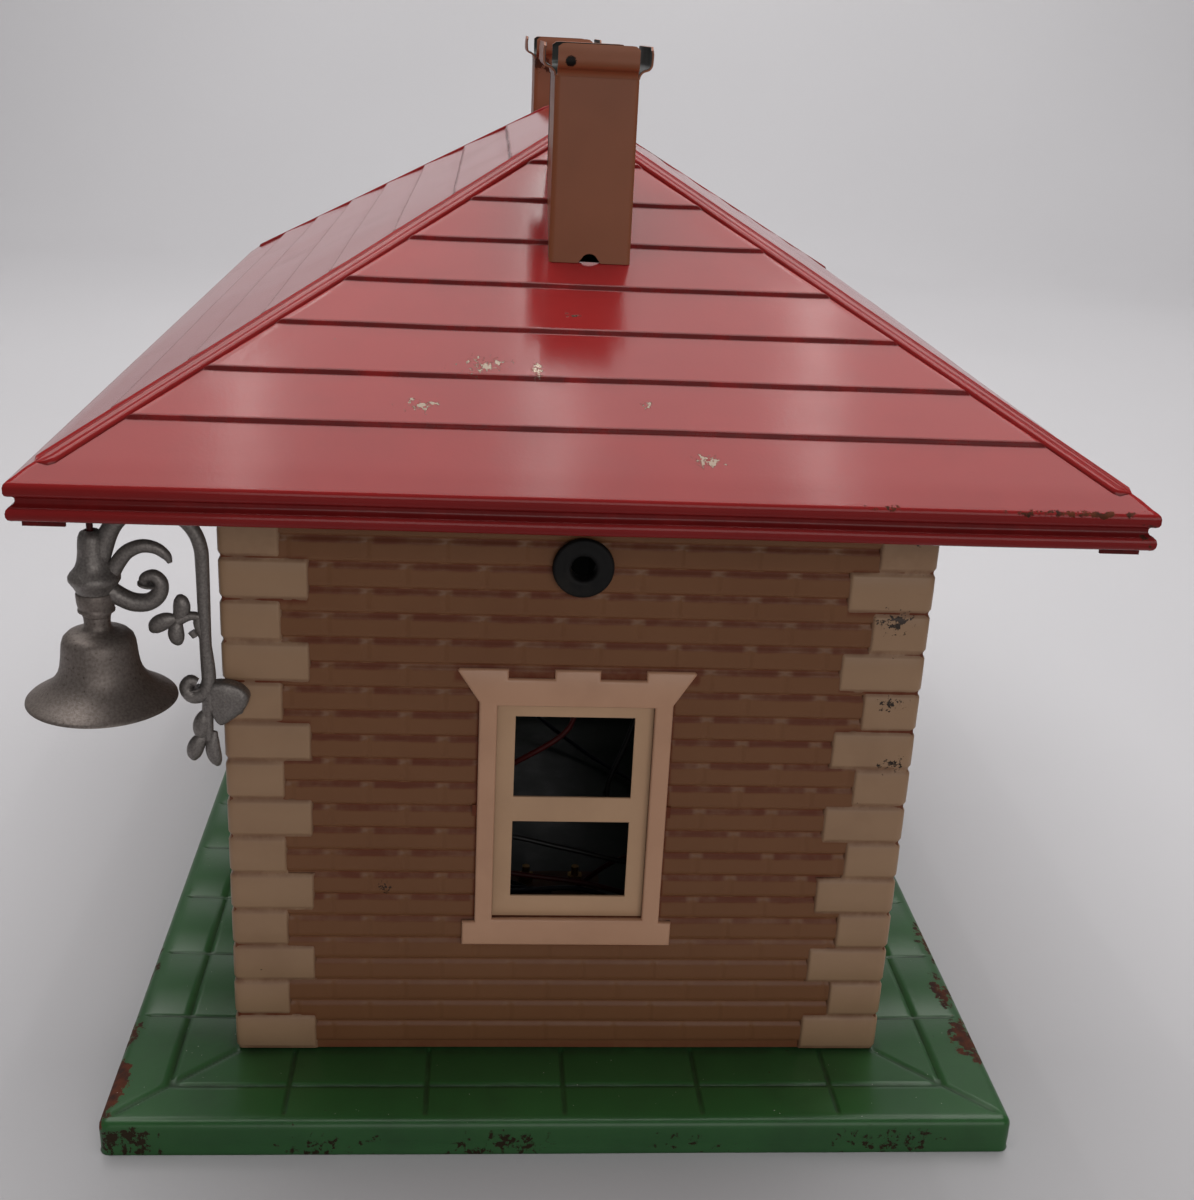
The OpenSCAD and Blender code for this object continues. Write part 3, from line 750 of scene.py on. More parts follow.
@dataclass(frozen=True)
class Metal:
    """Plated or cast metal with tarnish in its hollows.

    Attributes:
        name: material name.
        colour: display colour of the bright metal.
        tarnish: colour of the dull places.
        amount: how much of the surface is dull.
        size: size of the dull patches in millimetres.
        rough: roughness of the bright metal.
        metallic: how metallic it is.
        grain: size of the surface grain.
        bump: depth of the grain in millimetres.
        stain: colour of small dark stains.
        stains: how many stains there are.
    """

    name: str
    colour: Shade
    tarnish: Shade
    amount: float = 0.6
    size: float = 6.0
    rough: float = 0.38
    metallic: float = 0.9
    grain: float = 0.6
    bump: float = 0.03
    stain: Shade = (46, 26, 22)
    stains: float = 0.3

    def build(self) -> Material:
        """Makes the material."""
        g, shader = start_material(self.name)
        metal = Groups.use(g, "drift", Base=linear(*self.colour), Second=linear(*self.tarnish),
                           Size=self.size, Amount=self.amount)
        grime_and_shade = Groups.use(g, "grime_and_shade", Size=self.size / 2, Recess=0.8, Blotch=0.3)
        stains = Groups.use(g, "chips", Size=self.grain * 2, Amount=self.stains)
        colour = g.mix(grime_and_shade, metal, linear(*self.tarnish))
        colour = g.mix(g.times(stains, 0.8), colour, linear(*self.stain))
        g.feed(shader.inputs["Base Color"], colour)
        g.feed(shader.inputs["Metallic"], g.times(self.metallic,
                                                 g.math("SUBTRACT", 1.0, stains, True)))
        dull = g.math("MAXIMUM", grime_and_shade, stains)
        g.feed(shader.inputs["Roughness"], g.plus(self.rough, g.times(dull, 0.3)))
        skin = Groups.use(g, "skin", Size=self.grain, Waves=0.8)
        add_bump(g, shader, skin, self.bump)
        return g.owner


@dataclass(frozen=True)
class Moulded:
    """Rubber, fibre or insulation: a matt body with fine grain.

    Attributes:
        name: material name.
        colour: display colour.
        second: colour that it drifts to.
        rough: roughness.
        grain: size of the grain in millimetres.
        bump: depth of the grain in millimetres.
    """

    name: str
    colour: Shade
    second: Shade
    rough: float = 0.55
    grain: float = 0.5
    bump: float = 0.02

    def build(self) -> Material:
        """Makes the material."""
        g, shader = start_material(self.name, {"Specular IOR Level": 0.25})
        body = Groups.use(g, "drift", Base=linear(*self.colour), Second=linear(*self.second),
                          Size=5.0, Amount=0.8)
        grime_and_shade = Groups.use(g, "grime_and_shade", Size=3.0, Recess=0.4, Blotch=0.3)
        g.feed(shader.inputs["Base Color"], g.mix(grime_and_shade, body, linear(60, 54, 48)))
        g.feed(shader.inputs["Roughness"], g.plus(self.rough, g.times(grime_and_shade, 0.2)))
        add_bump(g, shader, Groups.use(g, "skin", Size=self.grain, Waves=0.5), self.bump)
        return g.owner


@dataclass(frozen=True)
class BulbGlass:
    """Thin clear glass with a trace of smoke inside."""

    name: str = "bulb_glass"

    def build(self) -> Material:
        """Makes the material."""
        g, shader = start_material(
            self.name, {"Metallic": 0.0, "Transmission Weight": 0.85, "Roughness": 0.06, "IOR": 1.3})
        smoke = Groups.use(g, "drift", Base=linear(244, 240, 228), Second=linear(176, 168, 150),
                           Size=6.0, Amount=0.7)
        g.feed(shader.inputs["Base Color"], smoke)
        add_bump(g, shader, Groups.use(g, "skin", Size=1.5, Waves=0.5), 0.01)
        return g.owner


def start_material(name: str, plain: dict[str, float] | None = None) -> tuple[Graph, Node]:
    """Starts a material with one Principled shader.

    Args:
        name: its name.
        plain: shader values that are the same all over, by socket name.

    Returns:
        Its graph and the shader node.
    """
    material = bpy.data.materials.new(name)
    material.use_nodes = True
    material.node_tree.nodes.clear()
    graph = Graph(material.node_tree, material)
    shader = graph.node("ShaderNodeBsdfPrincipled")
    output = graph.node("ShaderNodeOutputMaterial")
    graph.feed(output.inputs["Surface"], shader.outputs["BSDF"])
    for socket, value in (plain or {}).items():
        shader.inputs[socket].default_value = value
    return graph, shader


def add_bump(g: Graph, shader: Node, height: Socket, depth: float) -> None:
    """Feeds a height, worth the given depth in millimetres, to the shader's normal."""
    bump = g.node("ShaderNodeBump")
    bump.inputs["Distance"].default_value = depth * MM
    g.feed(bump.inputs["Height"], height)
    g.feed(shader.inputs["Normal"], bump.outputs["Normal"])


# ---------- base ----------
@dataclass
class BaseTray:
    """Green tray: a pressed top with paving lines, a rolled rim and a turned-down skirt."""

    finish: Material
    rim: float = 2.5
    sheet: float = 0.8
    line_width: float = 1.5
    line_depth: float = 0.55
    pitch_x: float = 31.2
    pitch_y: float = 36.0
    crest: float = 0.5
    box: Extent = field(default_factory=lambda: Extent.of("base_tray"))

    def __post_init__(self) -> None:
        """Works out the edges of the tray and of the house on it."""
        self.half_l = self.box.hi.x
        self.half_w = self.box.hi.y
        self.top = self.box.hi.z
        self.house_l = Extent.of("quoin_a_back").hi.x
        self.house_w = Extent.of("quoin_a_back").hi.y
        self.mid_x = (self.half_l + self.house_l) / 2
        self.mid_y = (self.half_w + self.house_w) / 2

    def line(self, away: float) -> float:
        """Share of the full depth at this distance from the middle of a paving line."""
        return 1.0 - ease(abs(away), 0.15 * self.line_width, 0.62 * self.line_width)

    def depth(self, x: float, y: float) -> float:
        """Depth of the paving lines.

        Args:
            x: place along the tray.
            y: place across the tray.

        Returns:
            0 on the plain top and 1 in a line.
        """
        ax, ay = abs(x), abs(y)
        if ax < self.house_l - 1 and ay < self.house_w - 1:
            return 0.0
        rim_x, rim_y = self.half_l - self.rim - ax, self.half_w - self.rim - ay
        marks = [0.0]
        mitre = abs((self.half_l - ax) - (self.half_w - ay)) / sqrt(2)
        if ax > self.house_l - 2 and ay > self.house_w - 2:
            marks.append(self.line(mitre))
        end_side = (self.half_l - ax) < (self.half_w - ay)
        if end_side:
            marks.append(self.line(ax - self.mid_x))
            if ay < self.mid_y:
                marks.append(self.line(y - round(y / self.pitch_y) * self.pitch_y))
        else:
            marks.append(self.line(ay - self.mid_y))
            if ax < self.mid_x:
                marks.append(self.line(x - round(x / self.pitch_x) * self.pitch_x))
        return max(marks) * ease(min(rim_x, rim_y), 0.0, 2.0)

    def tone_at(self, x: float, y: float) -> float:
        """Tone of the top: low in the paving lines, low beside the walls as painted contact shade, and below
        zero inside the house, where the dark inner colour paints the shade under the roof.
        """
        gap = max(abs(x) - self.house_l, abs(y) - self.house_w)
        if gap < -2.5:
            return -1.0
        return 1.0 - max(self.depth(x, y), 0.7 * (1 - ease(gap, 0.2, 3.0)))

    def stops(self, half: float, house: float, pitch: float) -> list[float]:
        """Grid places along one half of a side, close together where lines run."""
        edge = half - self.rim
        places = set(np.round(np.arange(house - 2.0, edge + 0.01, 0.8), 3)) | {0.0, edge}
        for k in range(int(house // pitch) + 1):
            for step in (-1.0, -0.7, -0.4, 0.0, 0.4, 0.7, 1.0):
                places.add(round(abs(k * pitch + step), 3))
        return sorted(p for p in places if p <= edge)

    def surface(self, x: float, y: float) -> float:
        """Height of the top: a slight crest towards the rim, paving lines and handling dents."""
        lift = self.crest * ease(max(abs(x) - self.house_l, abs(y) - self.house_w), 2.0, 26.0)
        dent = 0.12 * ripple(x, y, 3.0, 38.0)
        return self.top - self.crest + lift + dent - self.line_depth * self.depth(x, y)

    def build(self) -> None:
        """Builds the tray."""
        half_x = self.stops(self.half_l, self.house_l, self.pitch_x)
        half_y = self.stops(self.half_w, self.house_w, self.pitch_y)
        xs = sorted({-v for v in half_x} | set(half_x))
        ys = sorted({-v for v in half_y} | set(half_y))
        front = np.array([[(x, y, self.surface(x, y)) for x in xs] for y in ys])
        tone = np.array([[self.tone_at(x, y) for x in xs] for y in ys])
        draft = Draft()
        draft.grid(front, tone=tone)
        back = front - np.array([0, 0, self.sheet])
        draft.grid(back, flip=True)
        self.rim_into(draft, xs, ys)
        publish(draft, "tray", self.finish, Slot.GREEN, "base_tray")

    def rim_into(self, draft: Draft, xs: Sequence[float], ys: Sequence[float]) -> None:
        """Adds the rolled rim and the skirt, round the outline of the top."""
        ex, ey = self.half_l - self.rim, self.half_w - self.rim
        stations = [((x, -ey), (0.0, -1.0)) for x in xs[:-1]]
        stations += self.corner(ex, -ey, -90) + [((ex, y), (1.0, 0.0)) for y in ys[1:-1]]
        stations += self.corner(ex, ey, 0) + [((x, ey), (0.0, 1.0)) for x in xs[-2:0:-1]]
        stations += self.corner(-ex, ey, 90) + [((-ex, y), (-1.0, 0.0)) for y in ys[-2:0:-1]]
        stations += self.corner(-ex, -ey, 180)
        rows = []
        for out, up, share in self.profile():
            row = []
            for (x, y), (nx, ny) in stations:
                sway = 0.35 * ripple(x, y, 9.0, 46.0) * ease(self.top - up, 1.0, 7.0)
                z = self.surface(x, y) - (self.top - up) if share else up
                row.append((x + nx * (out + sway), y + ny * (out + sway), z))
            rows.append(row)
        # Tone 0.85 darkens the whole rim and skirt a little: painted shade on the tray's sides.
        draft.grid(np.array(rows), closed=True, flip=True, tone=0.85)

    def corner(self, x: float, y: float, start: float) -> list[tuple[Flat, Flat]]:
        """Stations that turn round one corner."""
        turn = [radians(start + a) for a in (0, 22, 45, 68, 90)]
        return [((x, y), (cos(a), sin(a))) for a in turn]

    def profile(self) -> list[tuple[float, float, bool]]:
        """Outline of the rim as (out, up, follows the top), from the top down and back up inside."""
        r = self.rim
        points = []
        for k in range(7):
            a = pi / 2 * k / 6
            points.append((r * sin(a), self.top - r + r * cos(a), k < 2))
        points += [(r, 4.0, False), (r - 0.1, 1.2, False), (r + 0.15, 0.35, False), (r, 0.0, False)]
        inner = r - self.sheet
        points += [(inner, 0.0, False), (inner, self.top - r, False)]
        for k in range(1, 5):
            a = pi / 2 * (1 - k / 4)
            points.append((inner * sin(a), self.top - r + inner * cos(a), k == 4))
        return points


# ---------- walls ----------
@dataclass
class BrickWall:
    """One embossed wall sheet with its holes.

    Attributes:
        node: CAD node that it stands for.
        face: face of the building that it makes.
        half: half of its width.
        holes: (low across, high across, low up, high up, lintel) of each rectangular hole.
        finish: its material.
        round_hole: (across, up, radius) of a round hole, or None.
    """

    node: str
    face: Face
    half: float
    holes: Sequence[tuple[float, float, float, float]]
    finish: Material
    round_hole: tuple[float, float, float] | None = None
    low: float = 10.0
    high: float = 192.0
    first: float = 12.0
    course: float = 6.57
    brick: float = 19.1
    shift: float = 4.8
    relief: float = 0.6
    sheet: float = 0.8
    crown: float = 0.2

    def course_height(self, up: float) -> float:
        """Height of the brick relief across a course, 0 to 1."""
        t = (up - self.first) % self.course
        return min(ease(t, 0.1, 0.7), ease(self.course - t, 0.1, 1.5))

    def end_gap(self, across: float, up: float) -> float:
        """Distance along a course to its nearest vertical joint."""
        row = floor((up - self.first) / self.course)
        start = self.shift if row % 2 else -self.shift
        t = (across - start) % self.brick
        return min(t, self.brick - t)

    def height(self, across: float, up: float) -> float:
        """Height of the relief.

        Args:
            across: place across the wall.
            up: height on the wall.

        Returns:
            0 in the joints and 1 on the crowns.
        """
        if up < self.first:
            return 0.3
        along = 0.6 + 0.4 * ease(self.end_gap(across, up), 0.15, 1.2)
        soft = 0.1 * ripple(across, up, 20.0 * self.face.turn, 7.0)
        return self.course_height(up) * along + soft

    def tone_at(self, across: float, up: float) -> float:
        """Tone of the paint: painted shade dashes along the tops of the bricks, the dark red eave's
        reflection, strongest in the upper courses; painted shadow by the trim; darker along the wall's foot.
        """
        t = (up - self.first) % self.course
        # Painted reflection: dark dashes on each brick's upward bevel and in its joint stand for the dark red
        # eave seen there, weaker in the lowest courses.
        ragged = 0.25 * ripple(across, up, 3.0, 4.0)
        painted_eave_dash = ease(t, self.course - 1.9 + ragged, self.course - 1.3 + ragged)
        painted_eave_dash = max(painted_eave_dash, 1.0 - ease(t, 0.05, 0.35))
        painted_eave_dash *= ease(self.end_gap(across, up), 1.0, 2.2) * (0.25 + 0.75 * ease(up, 34.0, 60.0))
        # The lowest 3 mm of the wall are darkened too: painted contact shade where the wall meets the tray.
        return 1.0 - max(0.85 * painted_eave_dash, self.trim_shadow(across, up), 0.5 * (1 - ease(up, 10.5, 13.5)))

    def trim_shadow(self, across: float, up: float) -> float:
        """Painted shadow on the wall beside the corner blocks' ends, behind the lintels' notches and beside
        the casings, 0 to 1.
        """
        block = int((up - 10.0) / 10.83)
        reach = 20.8 if (block % 2 == 0) == (self.face.turn % 2 == 0) else 14.0
        gap = self.half + 0.9 - reach - abs(across)
        dirt_and_shade = 1.0 - ease(gap, 0.1, 1.0)
        for x0, x1, z0, z1 in self.holes:
            near = abs(across - (x0 + x1) / 2) - (x1 - x0) / 2
            if up > z1 + 5.5:
                dirt_and_shade = max(dirt_and_shade, (1 - ease(near, 10.4, 11.4)) * (1 - ease(up, z1 + 9.7, z1 + 11.4)))
            else:
                dirt_and_shade = max(dirt_and_shade, (1 - ease(near, 4.7, 5.6)) * ease(up, z0 - 9, z0 - 8))
        return dirt_and_shade

    def rows(self) -> list[float]:
        """Heights of the grid lines."""
        made = {self.low, self.low + 1.0, self.high}
        k = 0
        while self.first + k * self.course < self.high:
            for part in (0.0, 0.2, 0.45, 0.7, 1.6, 3.2, 4.5, 4.85, 5.15, 5.6, 6.0, 6.3, 6.47):
                made.add(round(self.first + k * self.course + part, 3))
            k += 1
        for hole in self.holes:
            made |= {hole[2], hole[3], *(hole[3] + d for d in (9.7, 10.2, 10.8, 11.4))}
        return sorted(v for v in made if self.low <= v <= self.high)

    def columns(self) -> list[float]:
        """Places of the grid lines across the wall."""
        made = {-self.half, self.half}
        count = int(self.half // self.brick) + 2
        for k in range(-count, count):
            for start in (-self.shift, self.shift):
                for part in (-2.2, -1.5, -0.9, -0.4, 0.0, 0.4, 0.9, 1.5, 2.2, 6.0, 11.0):
                    made.add(round(k * self.brick + start + part, 3))
        for hole in self.holes:
            for d in (0.0, 4.6, 5.1, 5.7, 10.3, 10.8, 11.4):
                made |= {hole[0] - d, hole[1] + d}
        for reach in (20.8, 14.0):
            for d in (0.1, 0.5, 1.0):
                made |= {self.half + 0.9 - reach - d, reach + d - self.half - 0.9}
        kept = sorted(v for v in made if -self.half <= v <= self.half)
        return [v for i, v in enumerate(kept) if i == 0 or v - kept[i - 1] > 0.05 or abs(v) == self.half]

    def build(self) -> None:
        """Builds the wall."""
        ups, places = self.rows(), self.columns()
        front, back, tone = [], [], []
        for up in ups:
            rows = ([], [], [])
            for across in places:
                h = self.height(across, up)
                out = self.crown - self.relief * (1 - h) + 0.12 * ripple(across, up, 5.0, 55.0)
                rows[0].append(self.face(across, up, out))
                rows[1].append(self.face(across, up, out - self.sheet))
                rows[2].append(self.tone_at(across, up))
            for target, row in zip((front, back, tone), rows):
                target.append(row)
        keep = np.array([[self.solid((places[j] + places[j + 1]) / 2, (ups[i] + ups[i + 1]) / 2)
                          for j in range(len(places) - 1)] for i in range(len(ups) - 1)])
        draft = Draft()
        draft.sheet(np.array(front), np.array(back), keep, np.array(tone))
        publish(draft, f"brick_{self.node}", self.finish, Slot.BRICK, self.node, 60, True)

    def solid(self, across: float, up: float) -> bool:
        """Whether the sheet exists at a place."""
        for x0, x1, z0, z1 in self.holes:
            if x0 < across < x1 and z0 < up < z1:
                return False
        if self.round_hole:
            x, z, r = self.round_hole
            return hypot(across - x, up - z) > r
        return True


@dataclass
class CornerBlocks:
    """Corner strip of pressed blocks, long on one face where they are short on the other."""

    node: str
    sx: int
    sy: int
    finish: Material
    count: int = 17
    low: float = 10.0
    pitch: float = 10.83
    long: float = 20.8
    short: float = 14.0
    proud: float = 0.85
    fold: float = 0.9

    def __post_init__(self) -> None:
        """Reads the faces of the building from the CAD strip."""
        box = Extent.of(self.node)
        self.hx = max(abs(box.lo.x), abs(box.hi.x)) - self.proud
        self.hy = max(abs(box.lo.y), abs(box.hi.y)) - self.proud

    def reach(self, block: int, end_face: bool) -> float:
        """Width of a block on one of its faces."""
        return self.long if (block % 2 == 0) == end_face else self.short

    def pillow(self, run: float, up: float) -> float:
        """Height of the pressed block.

        Args:
            run: distance from the fold, negative on the end face.
            up: height on the strip.

        Returns:
            Height above the strip's base in millimetres.
        """
        block = min(int((up - self.low) / self.pitch), self.count - 1)
        within = (up - self.low) - block * self.pitch
        edge = min(within, self.pitch - within)
        lift = 0.3 + 0.7 * ease(edge, 0.1, 1.5)
        end = self.reach(block, run < 0) - abs(run)
        return self.proud * lift * ease(end, -0.05, 0.8)

    def point(self, run: float, up: float, out: float) -> Point:
        """Point of the strip: negative runs lie on the end face, positive ones on the long face."""
        r = self.fold
        quarter = pi / 2 * r
        if run < -quarter / 2:
            x, y = self.hx + out, self.hy - r + (run + quarter / 2)
        elif run > quarter / 2:
            x, y = self.hx - r - (run - quarter / 2), self.hy + out
        else:
            a = (run + quarter / 2) / r
            x = self.hx - r + (r + out) * cos(a)
            y = self.hy - r + (r + out) * sin(a)
        return (self.sx * x, self.sy * y, up)

    def build(self) -> None:
        """Builds the strip."""
        runs = {0.0}
        for end in (self.long, self.short):
            for part in (0.0, 0.25, 0.5, 0.8, 1.3, 4.0):
                runs |= {round(end - part, 3), round(part - end, 3)}
        for part in (0.3, 0.7, 1.5, 5.0):
            runs |= {part, -part}
        runs = sorted(runs)
        ups = []
        for k in range(self.count):
            for part in (0.0, 0.25, 0.6, 0.95, 1.3, 5.4, 9.53, 9.88, 10.23, 10.58):
                ups.append(self.low + k * self.pitch + part)
        ups.append(self.low + self.count * self.pitch - 0.01)
        front = np.array([[self.point(u, z, self.pillow(u, z) + self.sway(u, z)) for u in runs] for z in ups])
        back = np.array([[self.point(u, z, -0.2) for u in runs] for z in ups])
        # Tone: low in the joints and at the block ends; 0.2 lower above 150 mm as painted shade under the
        # eave.
        tone = np.array([[self.pillow(u, z) / self.proud - 0.2 * (z > 150) for u in runs] for z in ups])
        keep = np.array([[self.inside((runs[j] + runs[j + 1]) / 2, (ups[i] + ups[i + 1]) / 2)
                          for j in range(len(runs) - 1)] for i in range(len(ups) - 1)])
        draft = Draft()
        draft.sheet(front, back, keep, tone)
        publish(draft, f"blocks_{self.node[6:]}", self.finish, Slot.CREAM, self.node, 62, True)

    def sway(self, run: float, up: float) -> float:
        """Handling waves of the strip."""
        return 0.07 * ripple(run + 40 * self.sx, up + 90 * self.sy, 0.0, 16.0)

    def inside(self, run: float, up: float) -> bool:
        """Whether the strip exists at a place."""
        block = min(int((up - self.low) / self.pitch), self.count - 1)
        return abs(run) < self.reach(block, run < 0)


# ---------- windows ----------
@dataclass(frozen=True)
class Lintel:
    """Head of a casing or door frame: flared at both sides, with two notches in its top."""

    flare: float = 5.6
    notch_in: float = 5.8
    notch_out: float = 17.3
    notch_depth: float = 2.4

    def outline(self, jamb: Sequence[Flat], high: float) -> list[Flat]:
        """Closes an outline over its jambs.

        Args:
            jamb: corners of the right jamb, from its foot to the start of the flare.
            high: top of the lintel.

        Returns:
            The whole outline, anticlockwise.
        """
        side, notch = jamb[-1][0] + self.flare, high - self.notch_depth
        right = [*jamb, (side, high - 0.6), (side - 0.7, high), (self.notch_out, high),
                 (self.notch_out, notch), (self.notch_in, notch), (self.notch_in, high)]
        return right + [(-x, y) for x, y in reversed(right)]


@dataclass
class Window:
    """Casing with a flared, notched lintel, and the two-light sash behind it."""

    tag: str
    face: Face
    casing_finish: Material
    sash_finish: Material
    half: float = 24.5
    opening: float = 19.9
    open_low: float = 51.5
    open_high: float = 113.3
    sill_half: float = 27.8
    sill_height: float = 7.0
    depth: float = 1.7
    pane: float = 15.2
    lights: Sequence[Flat] = ((57.4, 79.6), (86.7, 109.5))

    def __post_init__(self) -> None:
        """Finds the casing in the frame."""
        self.box = Extent.of(f"window_casing_{self.tag}")
        self.mid = self.face.across(self.box.mid)

    def outline(self) -> list[Flat]:
        """Outline of the casing, anticlockwise from the sill."""
        low = self.box.lo.z
        step = low + self.sill_height
        jamb = [(self.sill_half, low), (self.sill_half, step), (self.half, step),
                (self.half, self.open_high + 0.8)]
        return Lintel().outline(jamb, self.box.hi.z)

    def at(self, across: float, up: float, out: float) -> Point:
        """Place on the casing: the lintel's upper edge leans back to the wall."""
        high = self.box.hi.z
        lean = 0.9 * ease(up, high - 5.0, high) if out > 0.4 else 0.0
        wave = 0.1 * ripple(across + self.mid, up, 3.0, 30.0)
        return self.face(self.mid + across, up, out - lean + wave)

    def build(self) -> None:
        """Builds the casing and the sash."""
        casing = Draft()
        hole = rectangle(-self.opening, self.opening, self.open_low, self.open_high)
        casing.plate(self.outline(), [hole], self.at, self.depth, 0.75)
        self.bead(casing, self.depth - 0.55, 0.25)
        publish(casing, f"casing_{self.tag}", self.casing_finish, Slot.CREAM, f"window_casing_{self.tag}")
        sash = Draft()
        edge = self.opening + 2.0
        panes = [rectangle(-self.pane, self.pane, low, high) for low, high in self.lights]
        sash.plate(rectangle(-edge, edge, self.open_low - 2, self.open_high + 2), panes,
                   lambda x, y, out: self.face(self.mid + x, y, out - 1.6), 0.8, 0.25, 2)
        publish(sash, f"sash_{self.tag}", self.sash_finish, Slot.CREAM, f"window_sash_{self.tag}")

    def bead(self, draft: Draft, out: float, radius: float) -> None:
        """Adds the thin pressed bead along the foot of the opening."""
        places = np.linspace(-self.opening, self.opening, 9)
        path = [Vector(self.at(x, self.open_low - 0.5, out)) for x in places]
        draft.tube(path, [radius] * len(path), Vector((0, 0, 1)), sides=8, tone=0.8)


# ---------- doors ----------
@dataclass
class Doorway:
    """Door frame with a flared lintel, and its two hinged leaves with knobs."""

    side: str
    face: Face
    frame_finish: Material
    leaf_finish: Material
    knob_finish: Material
    half: float = 22.0
    border: float = 6.0
    low: float = 12.0
    height: float = 92.0
    depth: float = 1.7
    hinge_r: float = 1.45
    pin_bore: float = 0.96
    sheet: float = 0.8

    def __post_init__(self) -> None:
        """Finds the frame of the doorway."""
        self.box = Extent.of(f"door_frame_{self.side}")

    def build(self) -> None:
        """Builds the frame and both leaves."""
        self.build_frame()
        for hand in ("left", "right"):
            self.build_leaf(hand)
            self.build_knob(hand)

    def build_frame(self) -> None:
        """Builds the frame and the ears that hold the hinge pins."""
        high = self.box.hi.z
        out = self.half + self.border
        outline = Lintel().outline([(out, self.box.lo.z), (out, high - 8.5)], high)
        draft = Draft()
        top = self.low + self.height
        draft.plate(outline, [rectangle(-self.half, self.half, self.low, top)], self.face, self.depth, 0.7)
        hinge = Extent.of(f"door_{self.side}_left")
        reach = max(abs(hinge.lo.y), abs(hinge.hi.y)) - self.hinge_r - self.face.distance
        for sign in (-1, 1):
            for up in (self.low, top - 1.2):
                self.ear(draft, sign * (self.half - self.hinge_r - 0.46), reach, up)
        publish(draft, f"door_frame_{self.side}_pressed", self.frame_finish, Slot.CREAM,
                f"door_frame_{self.side}")

    def ear(self, draft: Draft, across: float, out: float, up: float) -> None:
        """Adds one ear: a short turned eye on a tongue from the frame.

        Args:
            draft: draft that receives it.
            across: place of its pin across the doorway.
            out: distance of its pin from the wall.
            up: height of its underside.
        """
        sign = 1 if across > 0 else -1
        eye = [(0.92, 0.0), (self.hinge_r, 0.0), (self.hinge_r, 1.2), (0.92, 1.2), (0.92, 0.0)]
        draft.lathe(eye, Vector(self.face(across, up, out)), sides=24)
        near, far = sorted((across + sign * 0.9, across + sign * 2.6))
        draft.plate(rectangle(near, far, up, up + 1.2), [], self.face, out + 0.6, 0.15, 1)

    def leaf_at(self, hand: str) -> Callable[..., Point]:
        """Placer for one leaf: across runs from the hinge to the meeting edge, out from its back."""
        sign = -1 if hand == "left" else 1
        hinge = Extent.of(f"door_{self.side}_{hand}")
        reach = max(abs(hinge.lo.y), abs(hinge.hi.y)) - 2 * (self.hinge_r + 0.06) - self.face.distance
        edge = self.half - self.hinge_r - 0.46

        def place(across: float, up: float, out: float) -> Point:
            """Point on the leaf."""
            return self.face(sign * (edge - across), up, reach + out)
        return place

    def build_leaf(self, hand: str) -> None:
        """Builds one leaf: stiles and rails round a light, a raised lower panel and the hinge roll."""
        node = f"door_{self.side}_{hand}"
        box = Extent.of(node)
        width = self.half - self.hinge_r - 0.46 - 0.35
        low, high = box.lo.z, box.hi.z
        place = self.leaf_at(hand)
        draft = Draft()
        light = rectangle(4.5, width - 3.8, self.low + 44, self.low + 82)
        panel = rectangle(4.5, width - 3.8, self.low + 8, self.low + 36)
        draft.plate(rectangle(0.0, width, low, high), [light, panel], place, self.sheet, 0.3, 2, 1.0)
        draft.plate(offset(panel, 0.2), [], place, 0.45, 0.15, 1, 1.0)
        draft.plate(offset(panel, -2.4), [], place, 0.95, 0.5, 3, 1.0)
        for ring in (light, panel):
            loop = [Vector(place(x, y, self.sheet)) for x, y in offset(ring, 0.7)]
            for a, b in zip(loop, loop[1:] + loop[:1]):
                draft.tube([a, b], [0.32, 0.32], Vector((0.3, 0.5, 0.8)), sides=8, tone=0.9)
        roll = [(self.pin_bore + 0.04, low), (self.hinge_r, low)]
        knuckles = 5
        for k in range(1, knuckles):
            up = low + (high - low) * k / knuckles
            groove = self.hinge_r - 0.22
            roll += [(self.hinge_r, up - 0.3), (groove, up - 0.1), (groove, up + 0.1),
                     (self.hinge_r, up + 0.3)]
        roll += [(self.hinge_r, high), (self.pin_bore + 0.04, high), (self.pin_bore + 0.04, low)]
        axis = Vector(place(0.0, 0.0, self.hinge_r + 0.06))
        draft.lathe(roll, axis, sides=24)
        publish(draft, f"leaf_{self.side}_{hand}", self.leaf_finish, Slot.DOOR, node, 45, body=node)

    def build_knob(self, hand: str) -> None:
        """Builds the turned knob of one leaf."""
        node = f"knob_{self.side}_{hand}"
        box = Extent.of(node)
        normal = Vector(self.face(0, 0, 1)) - Vector(self.face(0, 0, 0))
        inner = min(abs(box.lo.y), abs(box.hi.y))
        foot = Vector((box.mid.x, copysign(inner, box.mid.y), box.mid.z))
        profile = [(0.0, 0.0), (1.15, 0.0), (1.15, 0.25), (0.75, 0.4), (0.5, 0.6), (0.5, 1.05), (0.8, 1.2),
                   (1.12, 1.45), (1.2, 1.7), (1.1, 1.95), (0.7, 2.15), (0.0, 2.2)]
        draft = Draft()
        draft.lathe(profile, foot, normal, 24)
        publish(draft, f"turned_{node}", self.knob_finish, Slot.BRASS, node, 40, True,
                body=f"door_{self.side}_{hand}")


